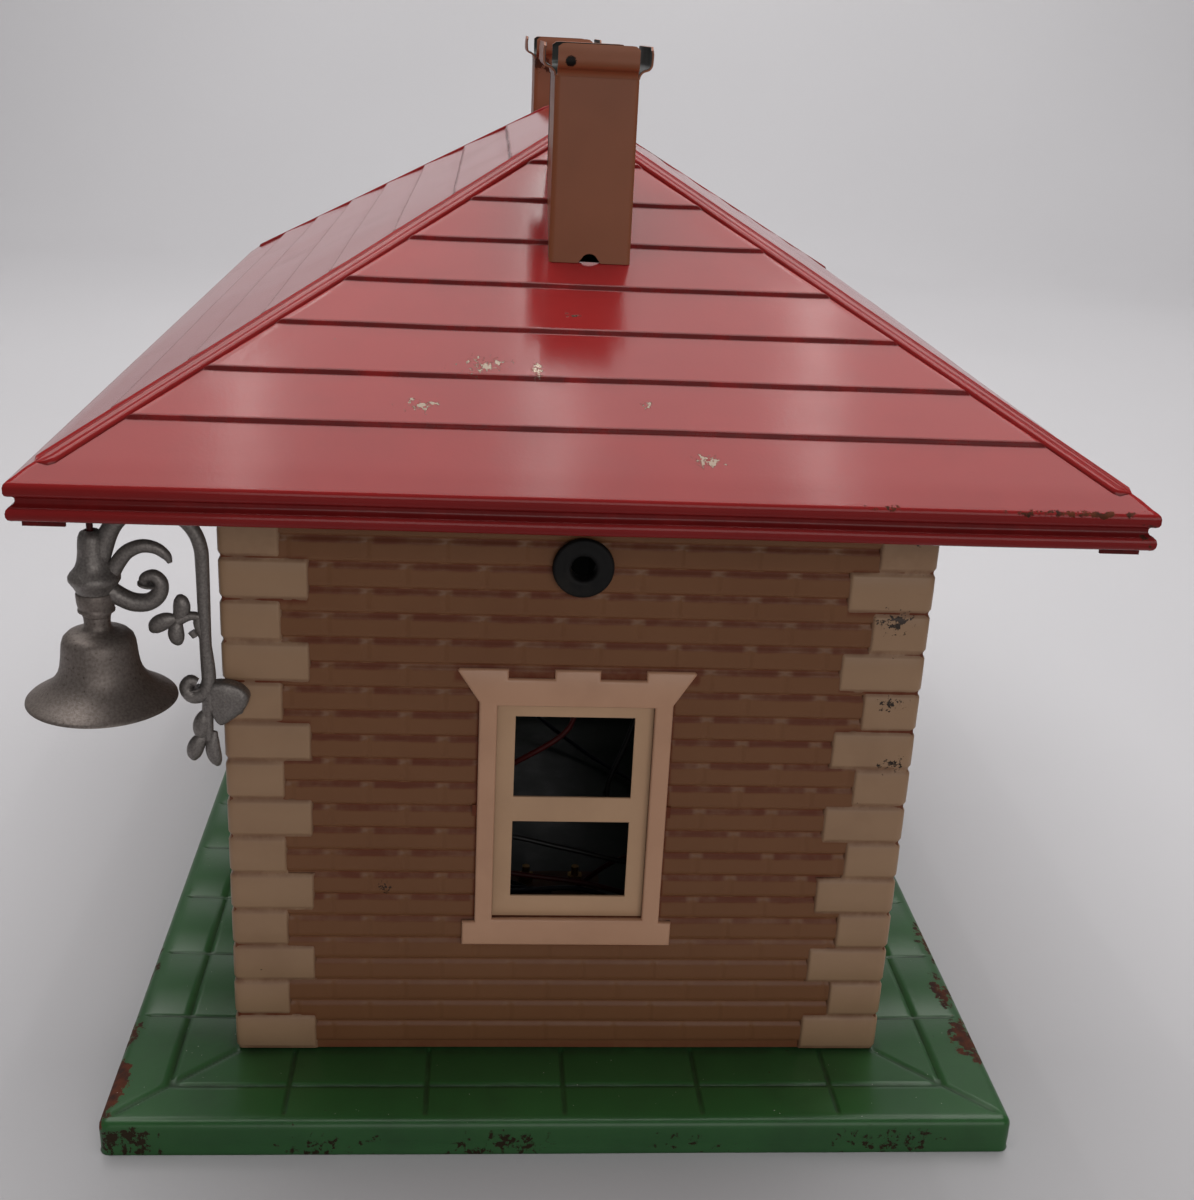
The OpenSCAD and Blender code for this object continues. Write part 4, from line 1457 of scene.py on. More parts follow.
@dataclass
class Grommet:
    """Black rubber grommet with a rounded collar and an open bore."""

    finish: Material
    radius: float = 7.6
    bore: float = 3.0
    neck: float = 5.2
    sheet: float = 0.8

    def build(self) -> None:
        """Builds the grommet."""
        box = Extent.of("grommet")
        wall = box.hi.x - 2.6
        outer, r = self.radius, 0.9
        collar = [(outer - r + r * cos(a), 1.6 + r * sin(a))
                  for a in np.radians([-90, -50, -10, 30, 60, 90])]
        mouth = [(self.bore + 1.1 - 1.1 * sin(a), 1.5 + 1.1 * cos(a))
                 for a in np.radians([0, 30, 60, 90])]
        inside = -self.sheet
        profile = [(outer - r, 0.05), *collar, (5.6, 2.35), (4.6, 2.5), *mouth, (self.bore, inside - 1.0),
                   (self.bore + 0.5, inside - 1.6), (outer - 1.4, inside - 1.6), (outer - 0.8, inside - 1.0),
                   (outer - 0.9, inside), (self.neck, inside), (self.neck, 0.05), (outer - r, 0.05)]
        draft = Draft()
        centre = Vector((wall, 0.0, box.mid.z))
        draft.lathe(profile, centre, Vector((1, 0, 0)), 64)
        publish(draft, "rubber_grommet", self.finish, Slot.RUBBER, "grommet")


# ---------- roof ----------
@dataclass
class Roof:
    """Hip roof pressed in overlapping courses, with a beaded fascia and ribs over the hips."""

    finish: Material
    fascia: float = 8.8
    ridge_half: float = 56.0
    ridge_z: float = 250.8
    lap: float = 0.85
    sheet: float = 0.8
    rib_half: float = 3.2
    rib_from: float = 0.045
    rib_to: float = 0.965
    gap: float = 4.6
    laps: Sequence[float] = (0.142, 0.258, 0.375, 0.491, 0.608, 0.726, 0.843)

    def __post_init__(self) -> None:
        """Reads the eaves from the frame."""
        box = Extent.of("roof_shell")
        self.half_l, self.half_w = box.hi.x, box.hi.y
        self.eave = box.lo.z
        self.foot = self.eave + self.fascia
        self.rise = self.ridge_z - self.foot
        self.run_l = self.half_l - self.ridge_half

    def share(self, x: float, y: float) -> float:
        """Share of the rise at a place, 0 at the eaves and 1 on the ridge."""
        return min((self.half_l - abs(x)) / self.run_l, (self.half_w - abs(y)) / self.half_w)

    def course(self, share: float, run: float) -> float:
        """Height of the lapped courses above the plain slope, as a share of one lap."""
        starts = [s for s in self.laps if s - 0.2 / run <= share]
        if not starts:
            return 0.0
        start = starts[-1]
        following = [s for s in (*self.laps, 1.0) if s > start]
        rise = ease((share - start) * run, -0.2, 0.2)
        return rise * (following[0] - share) / (following[0] - start)

    def height(self, x: float, y: float, gap: float, run: float) -> float:
        """Outer height of a slope, with its courses fading out before the hips.

        Args:
            x: place along the ridge.
            y: place across the ridge.
            gap: distance to the nearest hip.
            run: length of the slope in plan.
        """
        share = self.share(x, y)
        fade = ease(gap, self.gap - 0.7, self.gap + 1.0)
        calm = min(ease(share, 0.02, 0.1), ease(gap, 3.0, 14.0))
        dent = calm * (0.12 * ripple(x, y, 7.0, 30.0) + 0.22 * ripple(x, y, 2.0, 80.0))
        return self.foot + share * self.rise + self.lap * fade * self.course(share, run) + dent

    def fascia_points(self) -> list[Flat]:
        """Fascia outline as (out, up): from inside the lower lip, round it and up to the slope."""
        return [(-2.7, 9.0), (-2.7, 0.6), (-2.4, 0.15), (-1.9, 0.0), (-1.1, 0.05), (-0.45, 0.45),
                (-0.15, 1.1), (-0.1, 1.9), (-0.3, 2.7), (-0.9, 3.3), (-1.6, 3.65), (-1.85, 4.1),
                (-1.85, 4.9), (-1.5, 5.35), (-0.8, 5.5), (-0.25, 5.8), (0.0, 6.4), (0.0, 7.6),
                (-0.2, 8.3), (-0.7, 8.8), (-1.5, 9.25)]

    def side_grid(self, end: bool) -> tuple[np.ndarray, np.ndarray, np.ndarray]:
        """Grid of one side in its own (across, out, up): fascia first, then the slope.

        Args:
            end: whether it is an end slope.

        Returns:
            The outer points, the inner points of the slope, and the tones of the outer points.
        """
        reach, width = (self.half_l, self.half_w) if end else (self.half_w, self.half_l)
        run = self.run_l if end else self.half_w
        tip = 0.0 if end else self.ridge_half
        near = [0.0, 1.5, 3.0, 3.9, 4.3, 4.7, 5.1, 5.6, 7.0]
        count = 44 if end else 60
        rows, under, tones = [], [], []

        def spread(half: float) -> list[float]:
            """Places across the side, crowded at its hips."""
            pull = min(1.0, half / 9.0)
            inner = half - near[-1] * pull
            left = [-(half - d * pull) for d in near]
            mid = list(np.linspace(-inner, inner, count)[1:-1])
            return [*left, *mid, *[-v for v in reversed(left)]]

        for out, up in self.fascia_points():
            places = spread(width + out)
            sway = [0.25 * ripple(x, 40.0 * end, up, 60.0) * ease(abs(up - 9), 0, 5) for x in places]
            rows.append([(x, reach + out + w, self.eave + up + w) for x, w in zip(places, sway)])
            # Tone 0.55 in the fascia's middle groove: painted shade in the groove.
            tones.append([0.55 if 3.2 < up < 5.4 else 1.0] * len(places))
        shares = [0.03, 0.06, 0.09, 0.12]
        for k, start in enumerate(self.laps):
            shares += [start + d / run for d in (-0.5, -0.22, -0.08, 0.08, 0.22, 0.8)]
            after = (*self.laps, 1.0)[k + 1]
            shares += [start + (after - start) * t for t in (0.25, 0.5, 0.75)]
        shares.append(1.0)
        for share in shares:
            half = tip + (width - tip) * (1 - share)
            row, low, tone = [], [], []
            for x in spread(half):
                out = reach - share * run
                gap = half - abs(x)
                spot = (out, x) if end else (x, out)
                row.append((x, out, self.height(*spot, gap, run)))
                low.append((x, out, self.foot + share * self.rise - 1.1 * self.sheet - 0.4))
                near_step = min(abs(share - s) * run for s in self.laps)
                # Tone falls to 0.1 on each lap's riser, away from the hips: painted shade along the steps of
                # the courses.
                tone.append(0.1 + 0.9 * ease(near_step, 0.15, 0.6) if gap > self.gap else 1.0)
            rows.append(row)
            under.append(low)
            tones.append(tone)
        inner_edge = [(x, reach - 2.7, self.eave + 9.0) for x in spread(width - 2.7)]
        return np.array(rows), np.array([inner_edge, *under]), np.array(tones)

    def build(self) -> None:
        """Builds the shell and its ribs."""
        draft = Draft()
        for turn in range(4):
            outer, inner, tone = self.side_grid(turn % 2 == 0)
            face = Face(turn, 0.0)
            for grid, tones, flip in ((outer, tone, False), (inner, -1.0, True)):
                placed = np.array([[face(x, z, y) for x, y, z in row] for row in grid.tolist()])
                draft.grid(placed, tone=tones, flip=flip)
        shell = publish(draft, "roof_pressing", self.finish, Slot.RED, "roof_shell", 48, False, 0.02, "roof")
        self.cut_flues(shell)
        for end, sx in (("a", 1), ("b", -1)):
            for side, sy in (("front", -1), ("back", 1)):
                self.build_rib(f"hip_rib_{end}_{side}", sx, sy)

    def cut_flues(self, shell: bpy.types.Object) -> None:
        """Opens the roof inside both chimneys."""
        work = bmesh.new()
        work.from_mesh(shell.data)
        for node in ("chimney_a", "chimney_b"):
            box = Extent.of(node)
            x0, x1 = box.lo.x + 3.6, box.hi.x - 3.6
            y1 = box.hi.y - 5.8
            cuts = ((Vector((x0, 0, 0)), Vector((1, 0, 0))), (Vector((x1, 0, 0)), Vector((1, 0, 0))),
                    (Vector((0, y1, 0)), Vector((0, 1, 0))), (Vector((0, -y1, 0)), Vector((0, 1, 0))))
            for spot, normal in cuts:
                near = [f for f in work.faces if self.by_flue(f, x0, x1, y1, 6.0)]
                parts = set(near) | {e for f in near for e in f.edges} | {v for f in near for v in f.verts}
                bmesh.ops.bisect_plane(work, geom=list(parts), dist=1e-7, plane_co=spot * MM, plane_no=normal)
            inside = [f for f in work.faces if self.by_flue(f, x0, x1, y1, 0.0)]
            bmesh.ops.delete(work, geom=inside, context="FACES")
        work.to_mesh(shell.data)
        work.free()

    @staticmethod
    def by_flue(face: bmesh.types.BMFace, x0: float, x1: float, y1: float, margin: float) -> bool:
        """Whether a face's middle lies in the flue, or within the margin of it."""
        mid = face.calc_center_median() / MM
        return x0 - margin < mid.x < x1 + margin and abs(mid.y) < y1 + margin

    def build_rib(self, node: str, sx: int, sy: int) -> None:
        """Builds one rib along its hip, from above the fascia to just below the ridge."""
        start = Vector((self.half_l, self.half_w))
        along = Vector((self.ridge_half, 0.0)) - start
        normal = Vector((-along.y, along.x)).normalized()
        half = self.rib_half
        bead = [-0.1, 0.0, 0.15, 0.5, 0.9, 1.4, 1.9]
        across = [*(-half + d for d in bead), -0.5, 0.0, 0.5, *(half - d for d in reversed(bead))]
        lift = [-0.5, 0.1, 0.55, 0.85, 0.9, 0.75, 0.42]
        rise = [*lift, 0.36, 0.36, 0.36, *reversed(lift)]
        rows, tones = [], []
        steps = 110
        for k in range(steps + 1):
            t = self.rib_from + (self.rib_to - self.rib_from) * k / steps
            ends = min(t - self.rib_from, self.rib_to - t) * along.length
            round_end = sqrt(max(0.0, 1 - (1 - min(ends / half, 1.0)) ** 2))
            row = []
            for w, h in zip(across, rise):
                flat = start + along * t + normal * w * max(round_end, 0.08)
                z = self.foot + self.share(flat.x, flat.y) * self.rise
                z += (h if h < 0 else h * ease(ends, -0.4, 1.2))
                z += 0.1 * ripple(flat.x * sx, flat.y * sy, 1.0, 22.0)
                row.append((sx * flat.x, sy * flat.y, z))
            rows.append(row)
            # Tone 0.3 where the rib meets the roof and 0.75 in its middle groove: painted shade beside and
            # between the beads.
            tones.append([0.3 if h <= 0.1 else 0.75 if h < 0.5 else 1.0 for h in rise])
        draft = Draft()
        draft.grid(np.array(rows), tone=np.array(tones), flip=sx * sy > 0)
        publish(draft, f"pressed_{node}", self.finish, Slot.RED, node, 60, body="roof")


# ---------- chimneys ----------
@dataclass
class Chimney:
    """Folded sheet tube with a flared lip on each face and open corners."""

    node: str
    sx: int
    roof: Roof
    finish: Material
    lip_out: float = 2.8
    lip_up: float = 7.4
    sheet: float = 0.8
    notch: float = 2.3
    top_drop: float = 7.2

    def __post_init__(self) -> None:
        """Finds the tube inside the CAD chimney."""
        box = Extent.of(self.node)
        self.mid_x = abs(box.mid.x)
        self.a = (box.hi.x - box.lo.x) / 2 - self.lip_out
        self.b = (box.hi.y - box.lo.y) / 2 - self.lip_out
        self.top = box.hi.z

    def spot(self, x: float, y: float, z: float) -> Point:
        """Point of chimney A, mirrored for chimney B."""
        return (self.sx * (self.mid_x + x), y, z)

    def roof_at(self, x: float, y: float) -> float:
        """Height of the roof under a corner of the tube."""
        px = self.mid_x + x
        end = (self.roof.half_l - px) / self.roof.run_l < (self.roof.half_w - abs(y)) / self.roof.half_w
        run = self.roof.run_l if end else self.roof.half_w
        share = self.roof.share(px, y)
        return self.roof.foot + share * self.roof.rise + self.roof.lap * self.roof.course(share, run)

    def wall(self, draft: Draft, across_half: float, out: float, turn: int, notched: bool) -> None:
        """Adds one face of the tube with a bowed surface, its foot following the roof.

        Args:
            draft: draft that receives it.
            across_half: half of its width.
            out: distance from the tube's axis.
            turn: quarter turns from +X.
            notched: cuts a round notch in its foot.
        """
        c, s = QUARTERS[turn]
        steps = 28
        us = np.linspace(-across_half, across_half, steps + 1)
        front, back = [], []
        for k in range(19):
            t = k / 18
            rows = ([], [])
            for u in us:
                foot = self.roof_at(c * out - s * u, s * out + c * u) + 0.15
                if notched and abs(u) < self.notch:
                    foot += sqrt(self.notch ** 2 - u * u)
                up = foot + (self.top - self.top_drop - foot) * t
                bow = 0.22 * ripple(u + 30 * turn, up, 60.0 * self.sx, 26.0)
                edge = 1 - ease(across_half - abs(u), 0.0, 0.9)
                for target, o in zip(rows, (out + bow * (1 - edge) - 0.45 * edge ** 2, out - self.sheet)):
                    target.append(self.spot(c * o - s * u, s * o + c * u, up))
            front.append(rows[0])
            back.append(rows[1])
        draft.sheet(np.array(front), np.array(back))

    def lip(self, draft: Draft, half: float, out: float, turn: int) -> None:
        """Adds the lip of one face: a thin sheet that curls out and then stands up.

        Args:
            draft: draft that receives it.
            half: half of its width.
            out: distance from the tube's axis.
            turn: quarter turns from +X.
        """
        c, s = QUARTERS[turn]
        line = smooth_curve([(-0.1, 0.0), (0.1, 0.9), (0.9, 1.75), (2.1, 2.2), (2.7, 3.0), (2.8, 4.4),
                             (2.8, 6.2), (2.65, 7.35)], 3)
        front, back = [], []
        for i, p in enumerate(line):
            ahead = line[min(i + 1, len(line) - 1)] - line[max(i - 1, 0)]
            normal = Vector((ahead.y, -ahead.x)).normalized() * self.sheet * 0.38
            rows = ([], [])
            for u in np.linspace(-half, half, 21):
                dent = 0.25 * ripple(u, turn * 20.0 + p.y, 9.0 * self.sx, 9.0) * ease(p.y, 1.0, 5.0)
                trim = 0.8 * ease(abs(u), half - 1.2, half) * ease(p.y, 5.5, 7.4)
                for target, side in zip(rows, (1, -1)):
                    o = out + p.x + normal.x * side + dent
                    up = self.top - self.lip_up + p.y + normal.y * side - trim
                    target.append(self.spot(c * o - s * u, s * o + c * u, up))
            front.append(rows[0])
            back.append(rows[1])
        draft.sheet(np.array(front), np.array(back))

    def build(self) -> None:
        """Builds the chimney."""
        draft = Draft()
        for turn in range(4):
            long_face = turn % 2 == 0
            half, out = (self.b, self.a) if long_face else (self.a, self.b)
            inset = 0.0 if long_face else self.sheet * 0.35
            self.wall(draft, half - inset, out, turn, turn == 0)
            self.lip(draft, half - (0.4 if long_face else 1.2), out, turn)
        publish(draft, f"folded_{self.node}", self.finish, Slot.TAN, self.node, 50, True, 0.002, "roof")


# ---------- lamps ----------
@dataclass
class CornerLamp:
    """Cast scroll bracket on a front corner, with its socket, bell shade, bulb and screw."""

    end: str
    sx: int
    casting: Material
    plated: Material
    brass: Material
    glass: Material
    bracket_low: float = 86.0
    waist: float = 1.6

    def __post_init__(self) -> None:
        """Finds the bracket's plane, the corner of the house and the lamp's axis."""
        bracket = Extent.of(f"lamp_bracket_{self.end}")
        shade = Extent.of(f"lamp_shade_{self.end}")
        self.plane = abs(bracket.mid.x)
        self.inner = min(abs(bracket.lo.x), abs(bracket.hi.x))
        self.corner = Extent.of("quoin_a_front").lo.y
        self.axis = Vector((shade.mid.x, shade.mid.y, 0.0))
        self.rim_r = (shade.hi.y - shade.lo.y) / 2
        self.rim_z = shade.lo.z

    def at(self, out: float, up: float, lift: float = 0.0) -> Vector:
        """Place on the bracket: out from the corner, up its drawing, lift away from the wall."""
        return Vector((self.sx * (self.plane + lift), self.corner - out, self.bracket_low + up))

    def stroke(self, draft: Draft, points: Sequence[Flat], radii: Sequence[float], steps: int = 5,
               thick: float = 1.0, lift: float = 0.0) -> None:
        """Adds one curved member of the casting.

        Args:
            draft: draft that receives it.
            points: its middle line.
            radii: half width at each point.
            steps: points made between each two.
            thick: half depth as a share of the half width.
            lift: distance from the bracket's plane.
        """
        line = smooth_curve([self.at(x, y, lift) for x, y in points], steps)
        widths = [v.x for v in smooth_curve([(r, 0.0, 0.0) for r in radii], steps)]
        draft.tube(line, widths, Vector((1, 0, 0)), thick, 14)

    def leaf(self, draft: Draft, root: Flat, angle: float, length: float, width: float) -> None:
        """Adds one full lobe with a blunt tip.

        Args:
            draft: draft that receives it.
            root: where it starts on the bracket.
            angle: its direction in degrees.
            length: its length.
            width: its greatest width.
        """
        a = radians(angle)
        points, radii = [], []
        for k in range(10):
            t = k / 9
            bend = 0.9 * sin(pi * t)
            points.append((root[0] + cos(a) * length * t - sin(a) * bend,
                           root[1] + sin(a) * length * t + cos(a) * bend))
            away = (t - 0.58) / (0.58 if t < 0.58 else 0.44)
            radii.append(width / 2 * sqrt(max(0.02, 1 - away ** 2)))
        radii[0] = max(radii[0], width * 0.2)
        self.stroke(draft, points, radii, 2, 0.72)

    def bracket(self) -> None:
        """Builds the casting: leg, arch, scrolls, trefoil, lower curl, heart pad and cup."""
        draft = Draft()
        leg = [(2.4, 26.0), (2.8, 32.0), (3.1, 42.0), (3.1, 54.0), (3.1, 64.0)]
        arch = arc((14.4, 66.0), 11.2, 172, 24, 8) + [(26.6, 66.0), (28.6, 61.0), (29.6, 57.0)]
        widths = [1.8, 1.6, 1.5, 1.6, 1.7, *[1.75] * 6, 1.9, 2.1, 2.3, 2.7, 3.1, 3.4, 3.2]
        self.stroke(draft, leg + arch, widths, 4, 0.95)
        scroll = [(28.0, 58.6), (25.4, 56.6), (22.4, 54.6), (19.4, 53.4), (16.0, 53.6), (13.6, 55.6),
                  (13.0, 58.4), (14.6, 60.2), (16.6, 59.6), (17.0, 58.0)]
        self.stroke(draft, scroll, [2.6, 2.4, 2.3, 2.3, 2.2, 2.0, 1.8, 1.6, 1.4, 1.2], 5, 1.0)
        hook = [(28.0, 57.4), (25.2, 59.6), (23.0, 63.0), (20.6, 66.0), (17.2, 67.6), (13.8, 67.2),
                (11.4, 65.4), (10.6, 63.6)]
        self.stroke(draft, hook, [2.6, 2.2, 1.9, 1.8, 1.7, 1.5, 1.2, 0.6], 5, 0.9)
        self.stroke(draft, [(16.2, 58.2), (16.3, 57.7)], [2.4, 2.3], 2, 1.1)
        self.stroke(draft, [(3.2, 49.6), (6.2, 50.2), (9.4, 49.0)], [1.2, 1.1, 1.5], 5, 1.0)
        for root, angle, length, width in (((9.8, 48.4), 98, 7.2, 4.2), ((9.4, 49.4), -28, 7.4, 4.4),
                                           ((9.0, 49.0), -88, 6.4, 4.0)):
            self.leaf(draft, root, angle, length, width)
        self.stroke(draft, [(6.2, 46.2), (5.4, 44.8)], [1.1, 0.9], 3, 0.9)
        curl = [(4.6, 48.6), (3.2, 44.0), (2.6, 39.0), (2.6, 34.0), (3.8, 30.2), (6.6, 29.2), (8.2, 31.2),
                (7.2, 33.2), (5.6, 32.6)]
        self.stroke(draft, [(3.2, 50.0)] + curl, [1.2, 1.3, 1.3, 1.4, 1.7, 2.0, 2.0, 1.8, 1.5, 1.2], 5, 0.95)
        self.stroke(draft, [(6.0, 31.4), (5.9, 30.9)], [1.9, 1.8], 2, 1.1)
        self.leaf(draft, (2.6, 25.6), -74, 8.4, 4.6)
        self.leaf(draft, (4.0, 18.8), -66, 7.8, 4.2)
        self.leaf(draft, (1.8, 19.6), -94, 9.4, 3.8)
        self.stroke(draft, [(3.0, 28.0), (3.4, 22.0), (3.0, 17.0)], [1.5, 1.4, 1.0], 4, 0.9)
        self.heart(draft)
        self.cup(draft)
        publish(draft, f"scroll_bracket_{self.end}", self.casting, Slot.CASTING,
                f"lamp_bracket_{self.end}", 60)

    def heart(self, draft: Draft) -> None:
        """Adds the heart pad, a rough crowned lug lying on the end wall's corner blocks."""
        edge = smooth_curve([(2.6, 25.0), (3.4, 29.4), (2.8, 32.4), (-0.6, 33.2), (-4.6, 32.2), (-7.0, 29.6),
                             (-6.0, 26.2), (-3.0, 23.2), (0.4, 21.4), (2.6, 25.0)], 4)[:-1]
        middle = Vector((-1.4, 28.4))
        rows = []
        lifts = ((1.0, -self.waist), (1.0, 0.2), (0.96, 0.9), (0.88, 1.35), (0.7, 1.62), (0.45, 1.75),
                 (0.2, 1.8), (0.02, 1.8))
        for share, lift in lifts:
            row = []
            for p in edge:
                q = middle + (Vector((p.x, p.y)) - middle) * share
                rough = 0.3 * ripple(q.x, q.y, 4.0 * self.sx, 2.2) if lift > 0 else 0.0
                row.append(self.at(q.x, q.y, lift + rough))
            rows.append(row)
        draft.grid(np.array(rows), closed=True, flip=self.sx > 0)

    def cup(self, draft: Draft) -> None:
        """Adds the cup over the lamp socket and the short neck above it."""
        profile = [(0.0, 0.0), (4.4, 0.0), (4.6, 0.5), (5.0, 1.3), (5.6, 2.2), (6.1, 3.0), (6.15, 3.8),
                   (5.7, 4.6), (4.9, 5.5), (4.3, 6.4), (3.8, 7.8), (3.5, 10.0), (3.4, 12.0), (3.2, 13.6),
                   (2.7, 14.8), (1.6, 15.4), (1.4, 14.0), (0.0, 13.6)]
        foot = Vector((self.axis.x, self.axis.y, Extent.of(f"lamp_socket_{self.end}").hi.z))
        draft.lathe(profile, foot, sides=40)

    def socket(self) -> None:
        """Builds the plated socket ring."""
        box = Extent.of(f"lamp_socket_{self.end}")
        height = box.hi.z - box.lo.z
        profile = [(2.6, 0.0), (3.2, 0.0), (3.4, 0.2), (3.4, 0.9), (3.9, 1.1), (4.35, 1.3), (4.4, 1.7),
                   (4.3, 1.95), (4.2, 2.1), (4.2, 2.5), (4.35, 2.7), (4.45, 3.2), (4.6, 4.4),
                   (4.65, height - 0.5), (4.5, height - 0.15), (4.3, height), (2.6, height), (2.6, 0.0)]
        draft = Draft()
        draft.lathe(profile, Vector((self.axis.x, self.axis.y, box.lo.z)), sides=56)
        publish(draft, f"socket_ring_{self.end}", self.plated, Slot.PLATED, f"lamp_socket_{self.end}")

    def shade(self) -> None:
        """Builds the spun bell shade."""
        k = self.rim_r / 18.0
        outer = [(2.7, 21.8), (3.1, 21.8), (3.2, 21.2), (3.1, 20.2), (3.2, 18.9), (3.8, 18.2), (5.6, 17.8),
                 (7.3, 17.3), (8.3, 16.3), (8.75, 15.0), (8.95, 13.3), (9.15, 11.2), (9.5, 9.0), (10.1, 7.2),
                 (11.1, 5.6), (12.6, 4.1), (14.4, 2.8), (16.2, 1.7), (17.5, 0.9), (17.95, 0.45), (18.0, 0.15)]
        inner = [(17.75, 0.0), (17.3, 0.3), (16.0, 1.05), (14.2, 2.2), (12.3, 3.5), (10.7, 5.0), (9.6, 6.7),
                 (8.9, 8.8), (8.5, 11.2), (8.3, 13.3), (8.0, 14.8), (7.5, 15.8), (6.6, 16.5), (5.0, 17.0),
                 (3.1, 17.4), (2.7, 18.4), (2.7, 21.8)]
        draft = Draft()
        profile = [(r * k, h) for r, h in [*outer, *inner]]
        draft.lathe(profile, Vector((self.axis.x, self.axis.y, self.rim_z)), sides=96)
        publish(draft, f"bell_shade_{self.end}", self.plated, Slot.PLATED, f"lamp_shade_{self.end}")

    def bulb(self) -> None:
        """Builds the bulb: a glass pip and a threaded brass cap in one piece of two materials."""
        box = Extent.of(f"lamp_bulb_{self.end}")
        low = Vector((self.axis.x, self.axis.y, box.lo.z))
        build_bulb(low, box.hi.z - box.lo.z, (box.hi.x - box.lo.x) / 2, 2.3, f"lamp_bulb_{self.end}",
                   f"pip_bulb_{self.end}", self.glass, self.brass)

    def build(self) -> None:
        """Builds the whole lamp."""
        self.bracket()
        self.socket()
        self.shade()
        self.bulb()


def build_bulb(foot: Vector, height: float, radius: float, cap: float, node: str, name: str,
               glass: Material, brass: Material) -> None:
    """Builds a hanging bulb: glass below, a rolled-thread brass cap above.

    Args:
        foot: lowest point of the glass.
        height: height of the whole bulb.
        radius: radius of the glass.
        cap: radius of the cap.
        node: CAD node that it stands for.
        name: name of the piece.
        glass: material of the glass.
        brass: material of the cap.
    """
    outline = [(radius * sin(a), radius - radius * cos(a))
               for a in np.radians(np.linspace(0, 140, 15))]
    outline += [(cap * 0.96, radius * 2.0), (cap * 0.96, radius * 2.0 + 0.6)]
    draft = Draft()
    draft.lathe(outline, foot, sides=40)
    thread = [(cap * 0.9, radius * 2.0)]
    start = radius * 2.0 + 0.2
    turns = 5
    pitch = (height - start - 1.6) / turns
    for k in range(turns):
        up = start + k * pitch
        thread += [(cap, up + 0.15 * pitch), (cap * 1.04, up + 0.4 * pitch), (cap * 0.9, up + 0.8 * pitch)]
    thread += [(cap * 0.9, height - 1.5), (cap * 0.5, height - 1.1), (cap * 0.45, height - 0.1),
               (0.0, height)]
    draft.lathe(thread, foot, sides=40)
    piece = publish(draft, name, glass, Slot.BULB, node, 60)
    piece.data.materials.append(brass)
    edge = foot.z + radius * 2.0 + 0.1
    for polygon in piece.data.polygons:
        polygon.material_index = int(polygon.center.z / MM > edge)


# ---------- wiring ----------
@dataclass
class Wiring:
    """Soft wires from the terminals to the lamps, along the routes of the exact model."""

    colours: dict[str, Material]
    radius: float = 0.8

    def lamp_end(self) -> list[Point]:
        """Last stretch of a lamp wire: up the corner, out of the wall and into the cup."""
        wall = Extent.of("wall_front")
        lamp = Extent.of("lamp_shade_a").mid
        out_x = Extent.of("quoin_a_front").hi.x - 7.0
        return [(127, -72, 140), (out_x, -80, 156), (out_x, wall.lo.y, 163), (out_x + 1, lamp.y + 16, 168),
                (out_x + 4, lamp.y + 6, 168.4), (lamp.x, lamp.y + 0.3, 164), (lamp.x, lamp.y, 149)]

    def routes(self) -> dict[str, list[Point]]:
        """Listed points of every wire."""
        room = [(60, -8, 13), (64, -46, 30), (94, -48, 50), (100, -20, 54.5), (101, 2, 50.5),
                (101, 24, 46), (100, 42, 50), (97, 34, 62), (100, 13, 66), (100, 19, 90), (84, 26, 116),
                (40, 14, 142), (7, 2, 156.5)]
        near = [(60, 8, 13), (70, 22, 30), (90, 42, 42), (101, 30, 35), (101, 6, 39.5), (101, -20, 43.5),
                (101, -42, 52), (101, -36, 68), (101, -14, 78), (101, 2, 92), (104, -12, 112),
                (118, -50, 126)]
        far = [(62, 0, 13), (70, -30, 20), (90, -34, 29), (93, -12, 31.5), (93, 6, 32.5), (92, 24, 27),
               (76, 54, 16), (20, 56, 13.5), (-50, 10, 13.5), (-108, -40, 40), (-124, -64, 110)]
        end = self.lamp_end()
        return {"room_wire": room, "lamp_wire_a": near + end,
                "lamp_wire_b": far + [(-x, y, z) for x, y, z in end]}

    def build(self) -> None:
        """Builds every wire."""
        for node, route in self.routes().items():
            draft = Draft()
            line = smooth_curve(route, 6)
            draft.tube(line, [self.radius] * len(line), Vector((0.31, 0.22, 0.93)), sides=12)
            publish(draft, f"soft_{node}", self.colours[node], Slot.INSULATION, node, 70)


